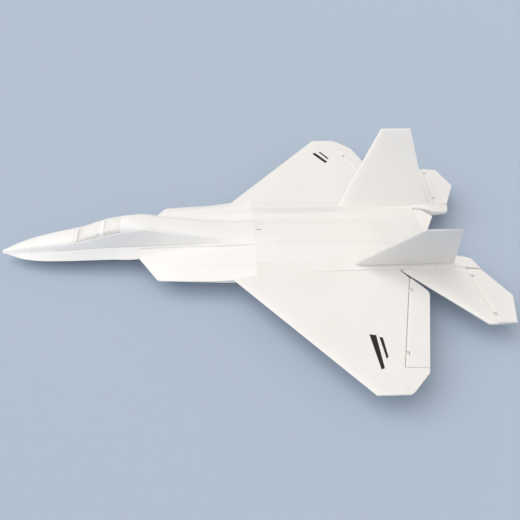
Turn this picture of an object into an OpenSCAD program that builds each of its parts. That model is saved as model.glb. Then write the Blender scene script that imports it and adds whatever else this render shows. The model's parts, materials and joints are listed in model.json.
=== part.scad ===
// Twin-fin foam jet plane for radio control, driven by one ducted fan.
// Millimetres. +X is the nose, +Y the left wing, +Z up. The origin is on the
// ground under the middle of the length.

/* [Airframe] */
// Length from the nose tip to the tail of the elevators
body_len = 1050; // [880:10:1260]
// Wing span, tip to tip
span = 800; // [670:10:960]
// Span of the tailplane
tail_span = 510; // [430:10:610]
// Wall of the foam fuselage shells
skin = 5; // [4:0.5:6]
// Thickness of the wing at its root
wing_root_t = 16; // [14:0.5:19]
// Thickness of the tailplane at its root
tail_root_t = 12; // [10:0.5:14]
// Thickness of the wing and tailplane at their tips
tip_t = 6; // [4:0.5:7]
// Height of the fins above their base
fin_h = 156; // [130:2:190]
// Lean of each fin away from upright, in degrees
fin_cant = 26.5; // [20:0.5:32]
// Thickness of the fins at their base
fin_root_t = 9; // [7:0.5:10]
// Gap around the lift-off canopy
hatch_gap = 0.4; // [0.2:0.1:1]
// Thickness of the clear canopy
canopy_t = 1.2; // [0.8:0.1:2]

/* [Control surfaces] */
// Thickness of the wing and tailplane along their hinge lines
hinge_t = 8; // [7:0.5:9]
// Slit between a control surface and what it hangs on
hinge_gap = 1; // [0.6:0.1:1.5]
// Thickness of every trailing edge
te_t = 2; // [1.5:0.1:3]
// Height of a control horn's hole below its hinge line
horn_h = 14; // [12:0.5:16]
// Thickness of the horns and servo arms
horn_t = 1.6; // [1.2:0.1:2]
// Diameter of the steel hinge pins
pin_d = 1.5; // [1.2:0.1:2]
// Running clearance around the hinge pins and servo shafts, radial
run_gap = 0.05; // [0.02:0.01:0.1]

/* [Ducted fan] */
// Bore of the fan housing
fan_bore = 64; // [60:1:77]
// Wall of the fan housing
fan_wall = 2; // [1.5:0.5:3]
// Length of the fan housing
fan_len = 58; // [52:1:62]
// Blades on the rotor
fan_blades = 11; // [5:1:12]
// Gap between the blade tips and the housing
tip_gap = 0.8; // [0.5:0.1:1.5]
// Diameter of the motor
motor_d = 28; // [24:1:30]
// Diameter of the motor shaft
shaft_d = 4; // [3:0.5:5]
// Wall of the air ducts
duct_t = 1.5; // [1:0.1:2]

/* [Equipment] */
// Length of the battery pack
battery_len = 104; // [80:2:126]
// Width of the battery pack
battery_w = 34; // [28:1:38]
// Height of the battery pack
battery_h = 24; // [18:1:28]
// Diameter of the carbon wing spar tubes
spar_d = 6; // [5:0.5:8]
// Diameter of the carbon tail spar rods
tail_spar_d = 4; // [3:0.5:5]
// Diameter of the pushrod wire
rod_d = 1.4; // [1.2:0.1:1.8]
// Length of a servo body
servo_len = 23; // [20:0.5:24]
// Thickness of a servo body
servo_t = 12; // [10:0.5:12.5]
// Height of a servo body, base to gear cover
servo_h = 22; // [20:0.5:24]

/* [Hidden] */
$fn = 48;
sides = [1, -1];

// Stations run aft from the nose in millimetres on a body 1050 mm long, and
// stretch with the real length. Wing and tail offsets stretch with the spans.
stretch = body_len / 1050;
function xs(s) = body_len / 2 - s * stretch;
function wing_y(y) = 118 + (y - 118) * (span / 2 - 118) / 282;
function tail_y(y) = 109 + (y - 109) * (tail_span / 2 - 109) / 146;

// Heights follow the fan, which fills the rear body from belly to deck.
fit = 0.5;
fan_r = fan_bore / 2;
fan_od = fan_bore + 2 * fan_wall;
fan_z = skin + fit + fan_od / 2;
deck_z = 2 * fan_z;
wing_z = 54;
shelf_z = wing_z + wing_root_t / 2;
keel_z = wing_z - wing_root_t / 2;
fin_z = shelf_z + 3;
bay_w = 82;
body_w = 44;

nose_s = 106;
hatch_s = [165, 312];
split_s = 550;
fan_s = 634;
tail_s = 922;

// Half width of the body along the wing roots, and rise of the belly
function edge(s) = lookup(s, [[350, 119], [502, 127], [635, 117], [748, 112], [1014, 108]]);
function rise(s) = lookup(s, [[740, 0], [850, 7], [922, 16]]);

// Joins point lists of a right and a left half that share the middle point.
function both(half) = [
  for (i = [len(half) - 1:-1:0]) half[i],
  for (i = [1:len(half) - 1]) [half[i][0], -half[i][1], half[i][2]]
];
function at(x, yz) = [for (p = yz) [x, p[0], p[1]]];
function mix(a, b, t) = a + (b - a) * t;

// Skins two equal grids of points, a and b, into one closed solid. With wrap
// set, each row closes on itself and the solid is a tube.
module slab(a, b, flip = false, wrap = false) {
  rows = len(a);
  n = len(a[0]);
  m = wrap ? n : n - 1;
  base = rows * n;
  function pa(k, i) = k * n + i % n;
  function pb(k, i) = base + k * n + i % n;
  sheets = [
    for (k = [0:rows - 2], i = [0:m - 1]) each [
      [pa(k, i), pa(k, i + 1), pa(k + 1, i + 1)],
      [pa(k, i), pa(k + 1, i + 1), pa(k + 1, i)],
      [pb(k, i), pb(k + 1, i + 1), pb(k, i + 1)],
      [pb(k, i), pb(k + 1, i), pb(k + 1, i + 1)]
    ]
  ];
  ends = [
    for (i = [0:m - 1]) each [
      [pa(0, i + 1), pa(0, i), pb(0, i)],
      [pa(0, i + 1), pb(0, i), pb(0, i + 1)],
      [pa(rows - 1, i), pa(rows - 1, i + 1), pb(rows - 1, i + 1)],
      [pa(rows - 1, i), pb(rows - 1, i + 1), pb(rows - 1, i)]
    ]
  ];
  rims = wrap ? [] : [
    for (k = [0:rows - 2]) each [
      [pa(k, 0), pa(k + 1, 0), pb(k + 1, 0)],
      [pa(k, 0), pb(k + 1, 0), pb(k, 0)],
      [pa(k + 1, n - 1), pa(k, n - 1), pb(k, n - 1)],
      [pa(k + 1, n - 1), pb(k, n - 1), pb(k + 1, n - 1)]
    ]
  ];
  faces = concat(sheets, ends, rims);
  polyhedron(
    points = [for (r = a) each r, for (r = b) each r],
    faces = flip ? [for (t = faces) [t[2], t[1], t[0]]] : faces
  );
}

// Puts its children on the left side as drawn, or mirrored on the right.
module on_side(dir) {
  mirror([0, dir < 0 ? 1 : 0, 0]) children();
}

// ---- forward body ----

// Each row: station, top, sill half width and height, crease half width and
// height, edge half width, edge height, belly height.
front_rows = [
  [0, 31, 3, 30, 4, 29, 5.5, 27, 24.5],
  [10, 35, 5.5, 32.5, 7, 30, 8.5, 27.5, 23],
  [24, 41, 9.5, 37, 12, 33, 15.5, 28, 20],
  [52, 52, 15, 46, 18, 39, 28.5, 29.5, 15],
  [nose_s, 67, 22, 58, 26, 48, 40, 33, 9],
  [hatch_s[0], 80, 27, 68, 30, 55, 44, 36.5, 7],
  [220, 101, 27, 81.5, 31, 60, 46, 39.5, 6.5],
  [250, 110, 27, 88.8, 31, 61, 47, 41, 6],
  [283, 115, 27, 96.9, 31, 62, 50, 42.5, 5],
  [hatch_s[1], 113, 27, 104, 31, 63, 50, 44.5, 3],
  [350, 107, 27, 97, 31, 64, body_w, 47, 0],
  [395, deck_z + 21, 28, deck_z + 11, 32, 66, body_w, 50, 0],
  [440, deck_z + 13, 29, deck_z + 6, 34, deck_z - 10, body_w, 52, 0],
  [502, deck_z + 4, 30, deck_z, 37, deck_z - 6, body_w, wing_z, 0],
  [split_s, deck_z, 30, deck_z - 3, 37, deck_z - 4.5, body_w, wing_z, 0]
];

// Height where the trunk's top meets the body's side
function wall_z(s) = lookup(s, [[350, 57], [395, 60], [split_s, deck_z - 6]]);

function front_top(r) = r[0] < 350
  ? [[0, r[1]], [r[2] * 0.55, mix(r[1], r[3], 0.16)], [r[2], r[3]], [r[4], r[5]],
     [mix(r[4], r[6], 0.5), mix(r[7], r[5], 0.4)], [r[6], r[7] + 1], [r[6], r[7]]]
  : [[0, r[1]], [r[2] * 0.55, mix(r[1], r[3], 0.16)], [r[2], r[3]], [r[4], r[5]],
     [mix(r[4], r[6], 0.5), mix(r[5], wall_z(r[0]), 0.5)], [r[6], wall_z(r[0])], [r[6], r[7]]];
function front_top_in(r) = [
  [0, r[1] - skin], [r[2] * 0.5, mix(r[1], r[3], 0.16) - skin], [r[2] - skin, r[3] - 2],
  [r[4] - skin, r[5] - 1], [mix(r[4], r[6], 0.5) - skin - 1, mix(r[7], r[5], 0.4) - 2],
  [r[6] - skin - 3, r[7] + 1], [r[6] - skin - 3, r[7]]
];
// The underside ahead of the inlets is a keel: steep sides under the chine down
// to a narrow flat, whose half width this gives.
function keel_w(r) = max(r[6] - (r[7] - r[8]) / 0.84, 2);
function front_low(r) = let(w = keel_w(r)) r[0] < 350
  ? [[0, r[8]], [w * 0.6, r[8]], [w, r[8] + 0.3], [mix(w, r[6], 0.33), mix(r[8], r[7], 0.31)],
     [mix(w, r[6], 0.66), mix(r[8], r[7], 0.64)], [mix(w, r[6], 0.85), mix(r[8], r[7], 0.84)], [r[6], r[7]]]
  : [[0, 0], [20, 0], [r[6] - 6, 0], [r[6], 5], [r[6], 18], [r[6], 36], [r[6], r[7]]];
function front_low_in(r) = let(
    w = max(keel_w(r) - 1.65, 0.8), e = r[6] - skin - 3, b = r[8] + skin
  ) r[0] < 350
  ? [[0, b], [w * 0.6, b], [w, b + 0.3], [mix(w, e, 0.33), mix(b, r[7], 0.31)],
     [mix(w, e, 0.66), mix(b, r[7], 0.64)], [mix(w, e, 0.85), mix(b, r[7], 0.84)], [e, r[7]]]
  : [[0, b], [r[6] * 0.35, b], [r[6] * 0.6 - skin / 2, b], [r[6] * 0.82 - skin, mix(r[8], r[7], 0.08) + skin / 2],
     [r[6] * 0.9 - skin, mix(r[8], r[7], 0.4)], [r[6] * 0.95 - skin - 1, mix(r[8], r[7], 0.8)], [e, r[7]]];

module nose_cone() {
  rows = [for (r = front_rows) if (r[0] <= nose_s) r];
  function rim(r) = [r[6], r[7] + 0.6];
  function top(r) = concat(
    [for (i = [0:4]) front_top(r)[i]], [mix(front_top(r)[4], rim(r), 0.5), rim(r)]);
  color("white")
    slab(
      [for (r = rows) both(at(xs(r[0]), top(r)))],
      [for (r = rows) both(at(xs(r[0]), front_low(r)))]
    );
}

// Opening under the canopy, above the slanted sill
module hatch_cut(gap) {
  x0 = xs(hatch_s[0]) + gap;
  x1 = xs(hatch_s[1]) - gap;
  z0 = front_rows[5][3];
  z1 = front_rows[9][3];
  rotate([90, 0, 0])
    linear_extrude(height = 120, center = true)
      polygon([[x0, z0], [x1, z1], [x1, 200], [x0, 200]]);
}

module front_fuselage_upper() {
  rows = [for (r = front_rows) if (r[0] >= nose_s) r];
  color("white")
    difference() {
      slab(
        [for (r = rows) both(at(xs(r[0]), front_top(r)))],
        [for (r = rows) both(at(xs(r[0]), front_top_in(r)))]
      );
      hatch_cut(0);
    }
}

module front_fuselage_lower() {
  rows = [for (r = front_rows) if (r[0] >= nose_s) r];
  color("white")
    slab(
      [for (r = rows) both(at(xs(r[0]), front_low(r)))],
      [for (r = rows) both(at(xs(r[0]), front_low_in(r)))],
      flip = true
    );
}

// ---- canopy ----

module canopy() {
  rows = [for (r = front_rows) if (r[0] >= hatch_s[0] && r[0] <= hatch_s[1]) r];
  last = len(rows) - 1;
  function x_of(k) = xs(rows[k][0]) + (k == 0 ? -hatch_gap : k == last ? hatch_gap : 0);
  function up(k) = k == 0 ? hatch_gap * 0.3 : 0.05;
  function out(k) = [for (i = [0:2]) front_top(rows[k])[i] + [0, up(k)]];
  function inner(k) = [out(k)[0] - [0, canopy_t], out(k)[1] - [canopy_t * 0.7, canopy_t],
                       out(k)[2] - [canopy_t, 0]];
  color("lightsteelblue", 0.6)
    slab(
      [for (k = [0:last]) both(at(x_of(k), out(k)))],
      [for (k = [0:last]) both(at(x_of(k), inner(k)))]
    );
}

module cockpit_base() {
  x0 = xs(hatch_s[0]) - 2 * hatch_gap;
  x1 = xs(hatch_s[1]) + 2 * hatch_gap;
  slope = (front_rows[9][3] - front_rows[5][3]) / (xs(hatch_s[0]) - xs(hatch_s[1]));
  function sill(x) = front_rows[5][3] + (xs(hatch_s[0]) - x) * slope;
  half = front_rows[6][2] - canopy_t - 0.1;
  plate_t = 1.2;
  seat_x = mix(x0, x1, 0.52);
  color("whitesmoke")
    union() {
      slab(
        [for (x = [x0, x1]) both(at(x, [
          [0, sill(x) + plate_t], [12, sill(x) + plate_t], [half - 2.4, sill(x) + plate_t]
        ]))],
        [for (x = [x0, x1]) both(at(x, [[0, sill(x) + 0.05], [12, sill(x) + 0.05], [half, sill(x) + 0.05]]))]
      );
      rotate([90, 0, 0])
        linear_extrude(height = 34, center = true)
          polygon([[x0 - 8, sill(x0 - 8) - 6], [x1 + 8, sill(x1 + 8) - 6],
                   [x1 + 8, sill(x1 + 8) + 3], [seat_x - 30, sill(seat_x - 30) + 3],
                   [seat_x - 26, sill(seat_x) + 10], [seat_x - 16, sill(seat_x) + 9],
                   [seat_x - 10, sill(seat_x) + 3], [x0 - 30, sill(x0 - 30) + 7],
                   [x0 - 8, sill(x0 - 8) + 3]]);
    }
}

// ---- rear body ----

// Each row: station, then how far the deck lies below its highest line at
// 0, 15, 30, 44, 62 and 80 mm from the middle.
rear_rows = [
  [split_s, 0, 0.5, 3, 6, 7, 10],
  [600, 0, 0, 0, 1, 3, 8],
  [635, 0, 0, 0, 1, 3, 8],
  [690, 0, 0, 0, 0.5, 2, 8],
  [748, 0, 0, 0, 0.5, 2, 8],
  [800, 0, 0, 0, 0.5, 2, 8],
  [850, 4, 4, 4, 4.5, 5, 9],
  [890, 8, 8, 8, 8.5, 9.5, 12],
  [tail_s, 12, 12, 12.5, 13, 14, 15]
];
rear_y = [0, 15, 30, 44, 62, 80];

function rear_top(r) = [
  for (i = [0:5]) [rear_y[i], max(deck_z - r[i + 1], fin_z)],
  [92, fin_z], [104, fin_z], [edge(r[0]), shelf_z], [edge(r[0]), wing_z]
];
function rear_top_in(r) = [
  for (i = [0:3]) [rear_y[i], max(deck_z - r[i + 1], fin_z) - skin],
  [58, max(deck_z - r[5], fin_z) - skin - 1], [70, max(deck_z - r[6], fin_z) - skin - 2.5],
  [76, shelf_z - 3.5], [80, shelf_z - 5], [bay_w, shelf_z - 7], [bay_w, wing_z]
];
function lift(z, s) = z + rise(s) * (1 - z / keel_z);
function rear_low(s) = [
  for (p = [[0, 0], [40, 0], [78, 0], [90, 8], [98, 26]]) [p[0], lift(p[1], s)],
  [edge(s), keel_z], [edge(s), wing_z]
];
function rear_low_in(s) = [
  for (p = [[0, skin], [40, skin], [70, skin], [77, 14], [80, 30]]) [p[0], lift(p[1], s)],
  [bay_w, keel_z + 2], [bay_w, wing_z]
];

// Cuts shared by both rear shells: grooves for the wing and tail spars
module spar_grooves() {
  for (d = sides) {
    wing_spar(d);
    tail_spar(d);
  }
}

module rear_fuselage_upper() {
  color("white")
    difference() {
      slab(
        [for (r = rear_rows) both(at(xs(r[0]), rear_top(r)))],
        [for (r = rear_rows) both(at(xs(r[0]), rear_top_in(r)))]
      );
      spar_grooves();
    }
}

module rear_fuselage_lower() {
  color("white")
    difference() {
      slab(
        [for (r = rear_rows) both(at(xs(r[0]), rear_low(r[0])))],
        [for (r = rear_rows) both(at(xs(r[0]), rear_low_in(r[0])))],
        flip = true
      );
      spar_grooves();
    }
}

module wing_spar(dir, gap = 0.1) {
  translate([xs(spar_s), dir * (bay_w + 1), wing_z])
    rotate([dir * -90, 0, 0]) cylinder(d = spar_d + 2 * gap, h = wing_y(spar_end) - bay_w, $fn = 32);
}

module tail_spar(dir, gap = 0.1) {
  translate([xs(tail_spar_s), dir * (bay_w + 2), wing_z])
    rotate([dir * -90, 0, 0])
      cylinder(d = tail_spar_d + 2 * gap, h = tail_y(tail_spar_end) - bay_w, $fn = 32);
}

spar_s = 690;
spar_end = 330;
tail_spar_s = 912;
tail_spar_end = 168;

// ---- air path ----

// Trunk ring, outside and inside, at station s aft of the swept mouth
function trunk_out(s) = let(t = (s - 395) / (split_s - 395), e = edge(s)) [
  [body_w, wall_z(s)], [62, mix(60, deck_z - 7, t)], [80, mix(59, deck_z - 10, t)],
  [92, mix(58, fin_z, t)], [104, mix(57, fin_z, t)], [e, mix(55, shelf_z, t)], [e, keel_z],
  [mix(97, 98, t), 26], [mix(81, 90, t), mix(11, 8, t)], [mix(74, 78, t), mix(5, 0, t)],
  [mix(52, 50, t), mix(3, 0, t)], [body_w, mix(9, 5, t)], [body_w, 33]
];
function trunk_in(s) = let(t = (s - 395) / (split_s - 395)) [
  [48, mix(54, 57, t)], [mix(62, 54, t), mix(54, 58, t)], [mix(76, 60, t), mix(53, 58, t)],
  [mix(88, 66, t), mix(52, 57, t)], [mix(98, 71, t), mix(51, 55, t)], [mix(110, 75, t), mix(49, 52, t)],
  [mix(109, 76, t), mix(45, 46, t)], [mix(91, 76, t), mix(26, 30, t)], [mix(77, 74, t), mix(13, 14, t)],
  [mix(71, 70, t), mix(9, 9, t)], [mix(54, 52, t), mix(7, 9, t)], [48, mix(11, 12, t)], [48, 33]
];
mouth_out = [[53, 47], [66, 47.5], [80, 47.5], [92, 47.5], [105, 47.5], [118, 47], [117.5, 44],
             [98, 26], [81, 11], [75, 5], [54, 3], [48, 8], [48.5, 27]];
mouth_in = [[55.5, 44.5], [66, 45], [80, 45], [92, 45], [102, 44.5], [111, 44], [109.5, 41.5],
            [93.5, 26], [77.5, 12.5], [72, 7.5], [56, 6], [50.5, 9.5], [51, 27]];
// The mouth is swept: its roof reaches forward inboard, its floor lies aft.
function mouth_s(p) = mix(345 + (p[0] - 46) * 0.6, 305 + (p[0] - 50) * 0.66, (p[1] - 4) / 42);

module intake_trunk(dir) {
  stations = [395, 445, 502, split_s];
  color("white")
    on_side(dir)
      slab(
        concat([[for (p = mouth_out) [xs(mouth_s(p)), p[0], p[1]]]],
               [for (s = stations) at(xs(s), trunk_out(s))]),
        concat([[for (p = mouth_in) [xs(mouth_s(p)), p[0], p[1]]]],
               [for (s = stations) at(xs(s), trunk_in(s))]),
        flip = true, wrap = true
      );
}

// Flat inner side with a rounded outer side: power 1 is a half circle, and a
// smaller power is nearer a rectangle.
function bent(v, power) = sign(v) * pow(abs(v), power);
function half_round(y, w, z, h, power) = concat(
  [for (j = [0:4]) [y, z + h * (1 - j / 2)]],
  [for (j = [1:11]) [y + w * bent(sin(15 * j), power), z - h * bent(cos(15 * j), power)]]
);
function oval(w, z, h, power) =
  [for (j = [0:23]) [w * bent(cos(15 * j), power), z + h * bent(sin(15 * j), power)]];

module inlet_duct(dir) {
  steps = [0, 0.12, 0.32, 0.55, 0.78, 1];
  x0 = xs(split_s + 2);
  x1 = xs(fan_s);
  function ease(t) = t * t * (3 - 2 * t);
  function ring(t, wall) = let(e = ease(t)) at(mix(x0, x1, t), half_round(
    mix(48, 0.4 + duct_t, e) - wall, mix(26, fan_r - duct_t - 0.4, e) + 2 * wall,
    mix(34, fan_z, e), mix(23, fan_r, e) + wall, mix(0.4, 1, e)));
  color("gainsboro")
    on_side(dir)
      slab([for (t = steps) ring(t, duct_t)], [for (t = steps) ring(t, 0)], wrap = true);
}

module centre_former() {
  low = rear_low_in(split_s);
  top = rear_top_in(rear_rows[0]);
  rim = concat(
    [for (i = [0:5]) [max(low[i][0] - fit, 0), low[i][1] + fit]],
    [for (i = [8:-1:0]) [max(top[i][0] - fit, 0), top[i][1] - fit - 0.2]]
  );
  color("burlywood")
    translate([xs(split_s) - 0.2, 0, 0])
      rotate([90, 0, -90])
        linear_extrude(height = 2 * stretch - 0.4)
          difference() {
            polygon(concat(
              [for (p = rim) p],
              [for (i = [len(rim) - 2:-1:1]) [-rim[i][0], rim[i][1]]]
            ));
            for (d = sides)
              polygon([[d * 49, 12], [d * 72, 12], [d * 74, 16], [d * 74, 52], [d * 70, 56], [d * 49, 56]]);
            circle(r = 8);
            translate([0, 36]) square([60, 30], center = true);
          }
}

fan_x = xs(fan_s);

module fan_housing() {
  ear = [12, bay_w - fan_r + 0.5, 4];
  color("dimgray")
    union() {
      translate([fan_x - fan_len, 0, fan_z])
        rotate([0, 90, 0])
          difference() {
            cylinder(r = fan_od / 2, h = fan_len, $fn = 64);
            translate([0, 0, -1]) cylinder(r = fan_r, h = fan_len + 2, $fn = 64);
          }
      for (d = sides)
        translate([fan_x - fan_len / 2 - ear[0] / 2, d > 0 ? bay_w - ear[1] : -bay_w, wing_z - ear[2]])
          cube(ear);
      translate([fan_x - fan_len + 4, 0, fan_z])
        rotate([0, 90, 0]) {
          difference() {
            cylinder(r = motor_d / 2 + 2, h = 20);
            translate([0, 0, -1]) cylinder(r = motor_d / 2 + 0.05, h = 22);
          }
          for (i = [0:4])
            rotate([0, 0, i * 72 + 36])
              translate([motor_d / 2 + 1, -0.8, 0])
                cube([fan_r - motor_d / 2, 1.6, 20]);
        }
    }
}

rotor_x = fan_x - 30;

module fan_rotor() {
  hub_r = motor_d / 2 + 2;
  rad = [hub_r - 1, mix(hub_r, fan_r, 0.5), fan_r - tip_gap];
  pitch = [42, 52, 62];
  chord = [17, 19, 20];
  // A blade is two skins; each row runs along the chord at one radius.
  function blade(side) = [
    for (k = [0:2]) [
      for (c = [-0.5, -0.2, 0.2, 0.5])
        let(u = c * chord[k], t = side * (abs(c) > 0.4 ? 0.35 : 0.8))
        let(y = u * sin(pitch[k]) + t * cos(pitch[k]))
        [u * cos(pitch[k]) - t * sin(pitch[k]), y, sqrt(rad[k] * rad[k] - y * y)]
    ]
  ];
  color("black")
    translate([rotor_x + 10, 0, fan_z])
      union() {
        difference() {
          translate([-10, 0, 0]) rotate([0, 90, 0]) cylinder(r = hub_r, h = 20);
          translate([-11, 0, 0]) rotate([0, 90, 0]) cylinder(r = hub_r - 2, h = 16);
          translate([-11, 0, 0]) rotate([0, 90, 0]) cylinder(d = shaft_d, h = 22, $fn = 32);
        }
        for (i = [0:fan_blades - 1])
          rotate([i * 360 / fan_blades, 0, 0]) slab(blade(1), blade(-1));
      }
}

module spinner() {
  r = motor_d / 2 + 2;
  color("black")
    translate([rotor_x + 20, 0, fan_z])
      rotate([0, 90, 0])
        rotate_extrude()
          polygon([[0, 0], [r, 0], [r * 0.93, 3], [r * 0.75, 6], [r * 0.45, 8.4], [0, 9.5]]);
}

module rotor_shaft() {
  color("silver")
    translate([fan_x - fan_len + 6, 0, fan_z])
      rotate([0, 90, 0]) cylinder(d = shaft_d, h = fan_len - 16, $fn = 32);
}

module motor() {
  x = fan_x - fan_len - 12;
  color("silver")
    translate([x, 0, fan_z])
      rotate([0, 90, 0])
        difference() {
          cylinder(d = motor_d, h = 34);
          translate([0, 0, 10]) cylinder(d = shaft_d + 2 * run_gap, h = 30, $fn = 32);
        }
}

module tail_cone() {
  r = motor_d / 2 + 1;
  x = fan_x - fan_len - 12;
  color("dimgray")
    translate([x, 0, fan_z])
      rotate([0, -90, 0])
        rotate_extrude()
          polygon([[0, 0], [r, 0], [r * 0.85, 16], [r * 0.55, 32], [r * 0.2, 46], [0, 48]]);
}

tube_end_s = 926;
tube_w = 75;
tube_h = 16;
tube_z = 43;

module thrust_tube() {
  x0 = fan_x - fan_len - 0.1;
  x1 = xs(tube_end_s);
  steps = [0, 0.15, 0.35, 0.55, 0.75, 1];
  function ease(t) = t * t * (3 - 2 * t);
  function ring(t, wall) = let(e = ease(t)) at(mix(x0, x1, t), oval(
    mix(fan_r, tube_w, e) + wall, mix(fan_z, tube_z, e), mix(fan_r, tube_h, e) + wall,
    mix(1, 0.5, e)));
  color("gainsboro")
    slab([for (t = steps) ring(t, duct_t)], [for (t = steps) ring(t, 0)], wrap = true);
}

// The nozzle's rear rim zigzags: a notch in the middle and a point either side.
function petal_s(y) = lookup(abs(y), [[0, 931], [57, 962], [88, 937]]);

module nozzle() {
  function ring(w, h, s0) = [
    for (p = oval(w, 43, h, 0.22)) [xs(s0 == 0 ? petal_s(p[0]) : s0), p[0], p[1]]
  ];
  color("lightgray")
    slab(
      [ring(87.5, 21, tail_s), ring(87.2, 20.7, 928), ring(86.5, 19.5, 0)],
      [ring(84.5, 18.5, tail_s), ring(84, 18.2, 928), ring(83.5, 17, 0)],
      wrap = true
    );
}

// ---- wings and tail ----

// A flying surface is skinned between an upper and a lower grid. Each section
// goes from the leading edge point a to the rear point b at half height t, with
// rear half height h; its points lie on the straight line between them.
shape = [[0, 0.12], [0.015, 0.36], [0.06, 0.62], [0.16, 0.87], [0.34, 1], [0.6, 0.9]];
function wing_pts(a, b, t, h, side) = [
  for (p = concat(shape, [[0.82, -1], [1, -2]]))
    let(z = p[1] >= 0 ? max(t * p[1], min(t, h) * p[1]) : p[1] == -1 ? mix(max(t * 0.9, h), h, 0.55) : h)
    [mix(a[0], b[0], p[0]), mix(a[1], b[1], p[0]), wing_z + side * z]
];

// Hinge lines, from the root end to the tip end, and rear edges
nose_r = hinge_t / 2;
ail_in = [xs(861.6), wing_y(136.6)];
ail_out = [xs(796.4), wing_y(348)];
ail_rear = [[xs(885), wing_y(165.4)], [xs(887.6), wing_y(175.7)], [xs(836), wing_y(348)]];
elev_in = [xs(987), 111.5];
elev_out = [xs(998), tail_y(253)];
elev_rear = [[xs(1014.5), 110.5], [xs(1050), tail_y(184)], [xs(1031), tail_y(252)]];

function along(h, t) = h[0] + (h[1] - h[0]) * t;
function unit(v) = v / norm(v);
// Point on hinge line h that lies at offset y
function hinge_at(h, y) = along(h, (y - h[0][1]) / (h[1][1] - h[0][1]));
// Distance along x, at constant y, that is d square to the hinge line
function slant(h, d) = d / abs(unit(h[1] - h[0])[1]);

module wing_panel() {
  h = [ail_in, ail_out];
  back = slant(h, nose_r + hinge_gap);
  function le(y) = [xs(502 + (y - 127) * 230 / 273), wing_y(y)];
  function he(y) = hinge_at(h, wing_y(y)) + [back, 0];
  t0 = wing_root_t / 2;
  t1 = tip_t / 2;
  root_s = [502, 510, 522, 552, 620, 710, 790, 842];
  function half(y) = mix(t0, t1, (y - 127) / 273);
  function root(side) = [
    for (i = [0:7])
      let(z = abs(wing_pts([0, 0], [1, 0], t0, nose_r, 1)[i][2] - wing_z))
      [xs(root_s[i]), edge(root_s[i]), wing_z + side * z]
  ];
  function skin_rows(side) = concat(
    [root(side)],
    [for (y = [140, 240, 348.8]) wing_pts(le(y), he(y), half(y), nose_r, side)]
  );
  slab(skin_rows(1), skin_rows(-1), flip = true);
}

// Outboard block behind and beyond the aileron's end
module wing_tip() {
  h = [ail_in, ail_out];
  back = slant(h, nose_r + hinge_gap);
  function le(y) = [xs(502 + (y - 127) * 230 / 273), wing_y(y)];
  function he(y) = hinge_at(h, wing_y(y)) + [back, 0];
  function half(y) = mix(wing_root_t / 2, tip_t / 2, (y - 127) / 273);
  function rim(y, rear, side, t, hh) = concat(
    wing_pts(le(y), he(y), t, hh, side),
    [[mix(he(y)[0], rear[0], 0.5), mix(he(y)[1], rear[1], 0.5), wing_z + side * mix(hh, te_t / 2, 0.5)],
     [rear[0], rear[1], wing_z + side * te_t / 2]]
  );
  function rows(side) = [
    rim(348.8, [xs(835.5), wing_y(348.8)], side, half(348.8), nose_r),
    rim(358.8, [xs(832.5), wing_y(358.8)], side, half(358.8), mix(nose_r, tip_t / 2, 0.4)),
    rim(394, [xs(798), wing_y(394)], side, half(394), tip_t / 2),
    rim(400, [xs(790), wing_y(400)], side, tip_t / 3, tip_t / 3)
  ];
  slab(rows(1), rows(-1), flip = true);
}

// Places children at a hinge line's point t, with local Y along the hinge
// towards the tip and local X square to it, forwards.
module on_hinge(h, t) {
  p = along(h, t);
  d = h[1] - h[0];
  translate([p[0], p[1], wing_z]) rotate([0, 0, -atan2(d[0], d[1])]) children();
}

leaf_t = 1;
barrel_w = 6;
hinge_spots = [0.14, 0.86];
ail_rod = 58;
elev_rod = 46;
ail_spot = 0.34;
elev_spot = 0.32;
servo_drop = 4;

// Room for a servo and its arm, and for the hinge leaves, cut in a fixed panel
module panel_cuts(h, spot, reach) {
  on_hinge(h, spot)
    translate([reach - servo_len + 6 - 4.3, -servo_h - 0.3, -servo_drop - 20])
      cube([servo_len + 8.6, servo_h + 6.3, 20 + servo_t / 2 + 0.2]);
  for (t = hinge_spots)
    on_hinge(h, t)
      translate([0, -barrel_w / 2 - 0.1, -leaf_t / 2 - 0.1])
        cube([nose_r + hinge_gap + 10.1, barrel_w + 0.2, leaf_t + 0.2]);
}

module wing(dir) {
  color("white")
    on_side(dir)
      difference() {
        union() {
          wing_panel();
          wing_tip();
        }
        wing_spar(1);
        panel_cuts([ail_in, ail_out], ail_spot, ail_rod);
      }
}

module stabilizer(dir) {
  h = [elev_in, elev_out];
  back = slant(h, nose_r + hinge_gap);
  function he(y) = hinge_at(h, y) + [back, 0];
  root_s = [851, 856, 864, 878, 900, 922, 955, 981.5];
  t0 = tail_root_t / 2;
  function root(side) = [
    for (i = [0:7])
      let(z = abs(wing_pts([0, 0], [1, 0], t0, nose_r, 1)[i][2] - wing_z))
      [xs(root_s[i]), edge(root_s[i]), wing_z + side * z]
  ];
  function le(y) = [xs(851 + (y - 113) * 125.6 / 142), tail_y(y)];
  function rows(side) = [
    root(side),
    wing_pts(le(130), he(tail_y(130)), t0 * 0.95, nose_r, side),
    wing_pts(le(190), he(tail_y(190)), mix(t0, nose_r, 0.6), nose_r, side),
    wing_pts(le(249), he(tail_y(249)), nose_r, nose_r, side),
    wing_pts(le(255), he(tail_y(255)), tip_t / 3, tip_t / 3, side)
  ];
  color("white")
    on_side(dir)
      difference() {
        slab(rows(1), rows(-1), flip = true);
        tail_spar(1);
        panel_cuts(h, elev_spot, elev_rod);
      }
}

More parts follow.
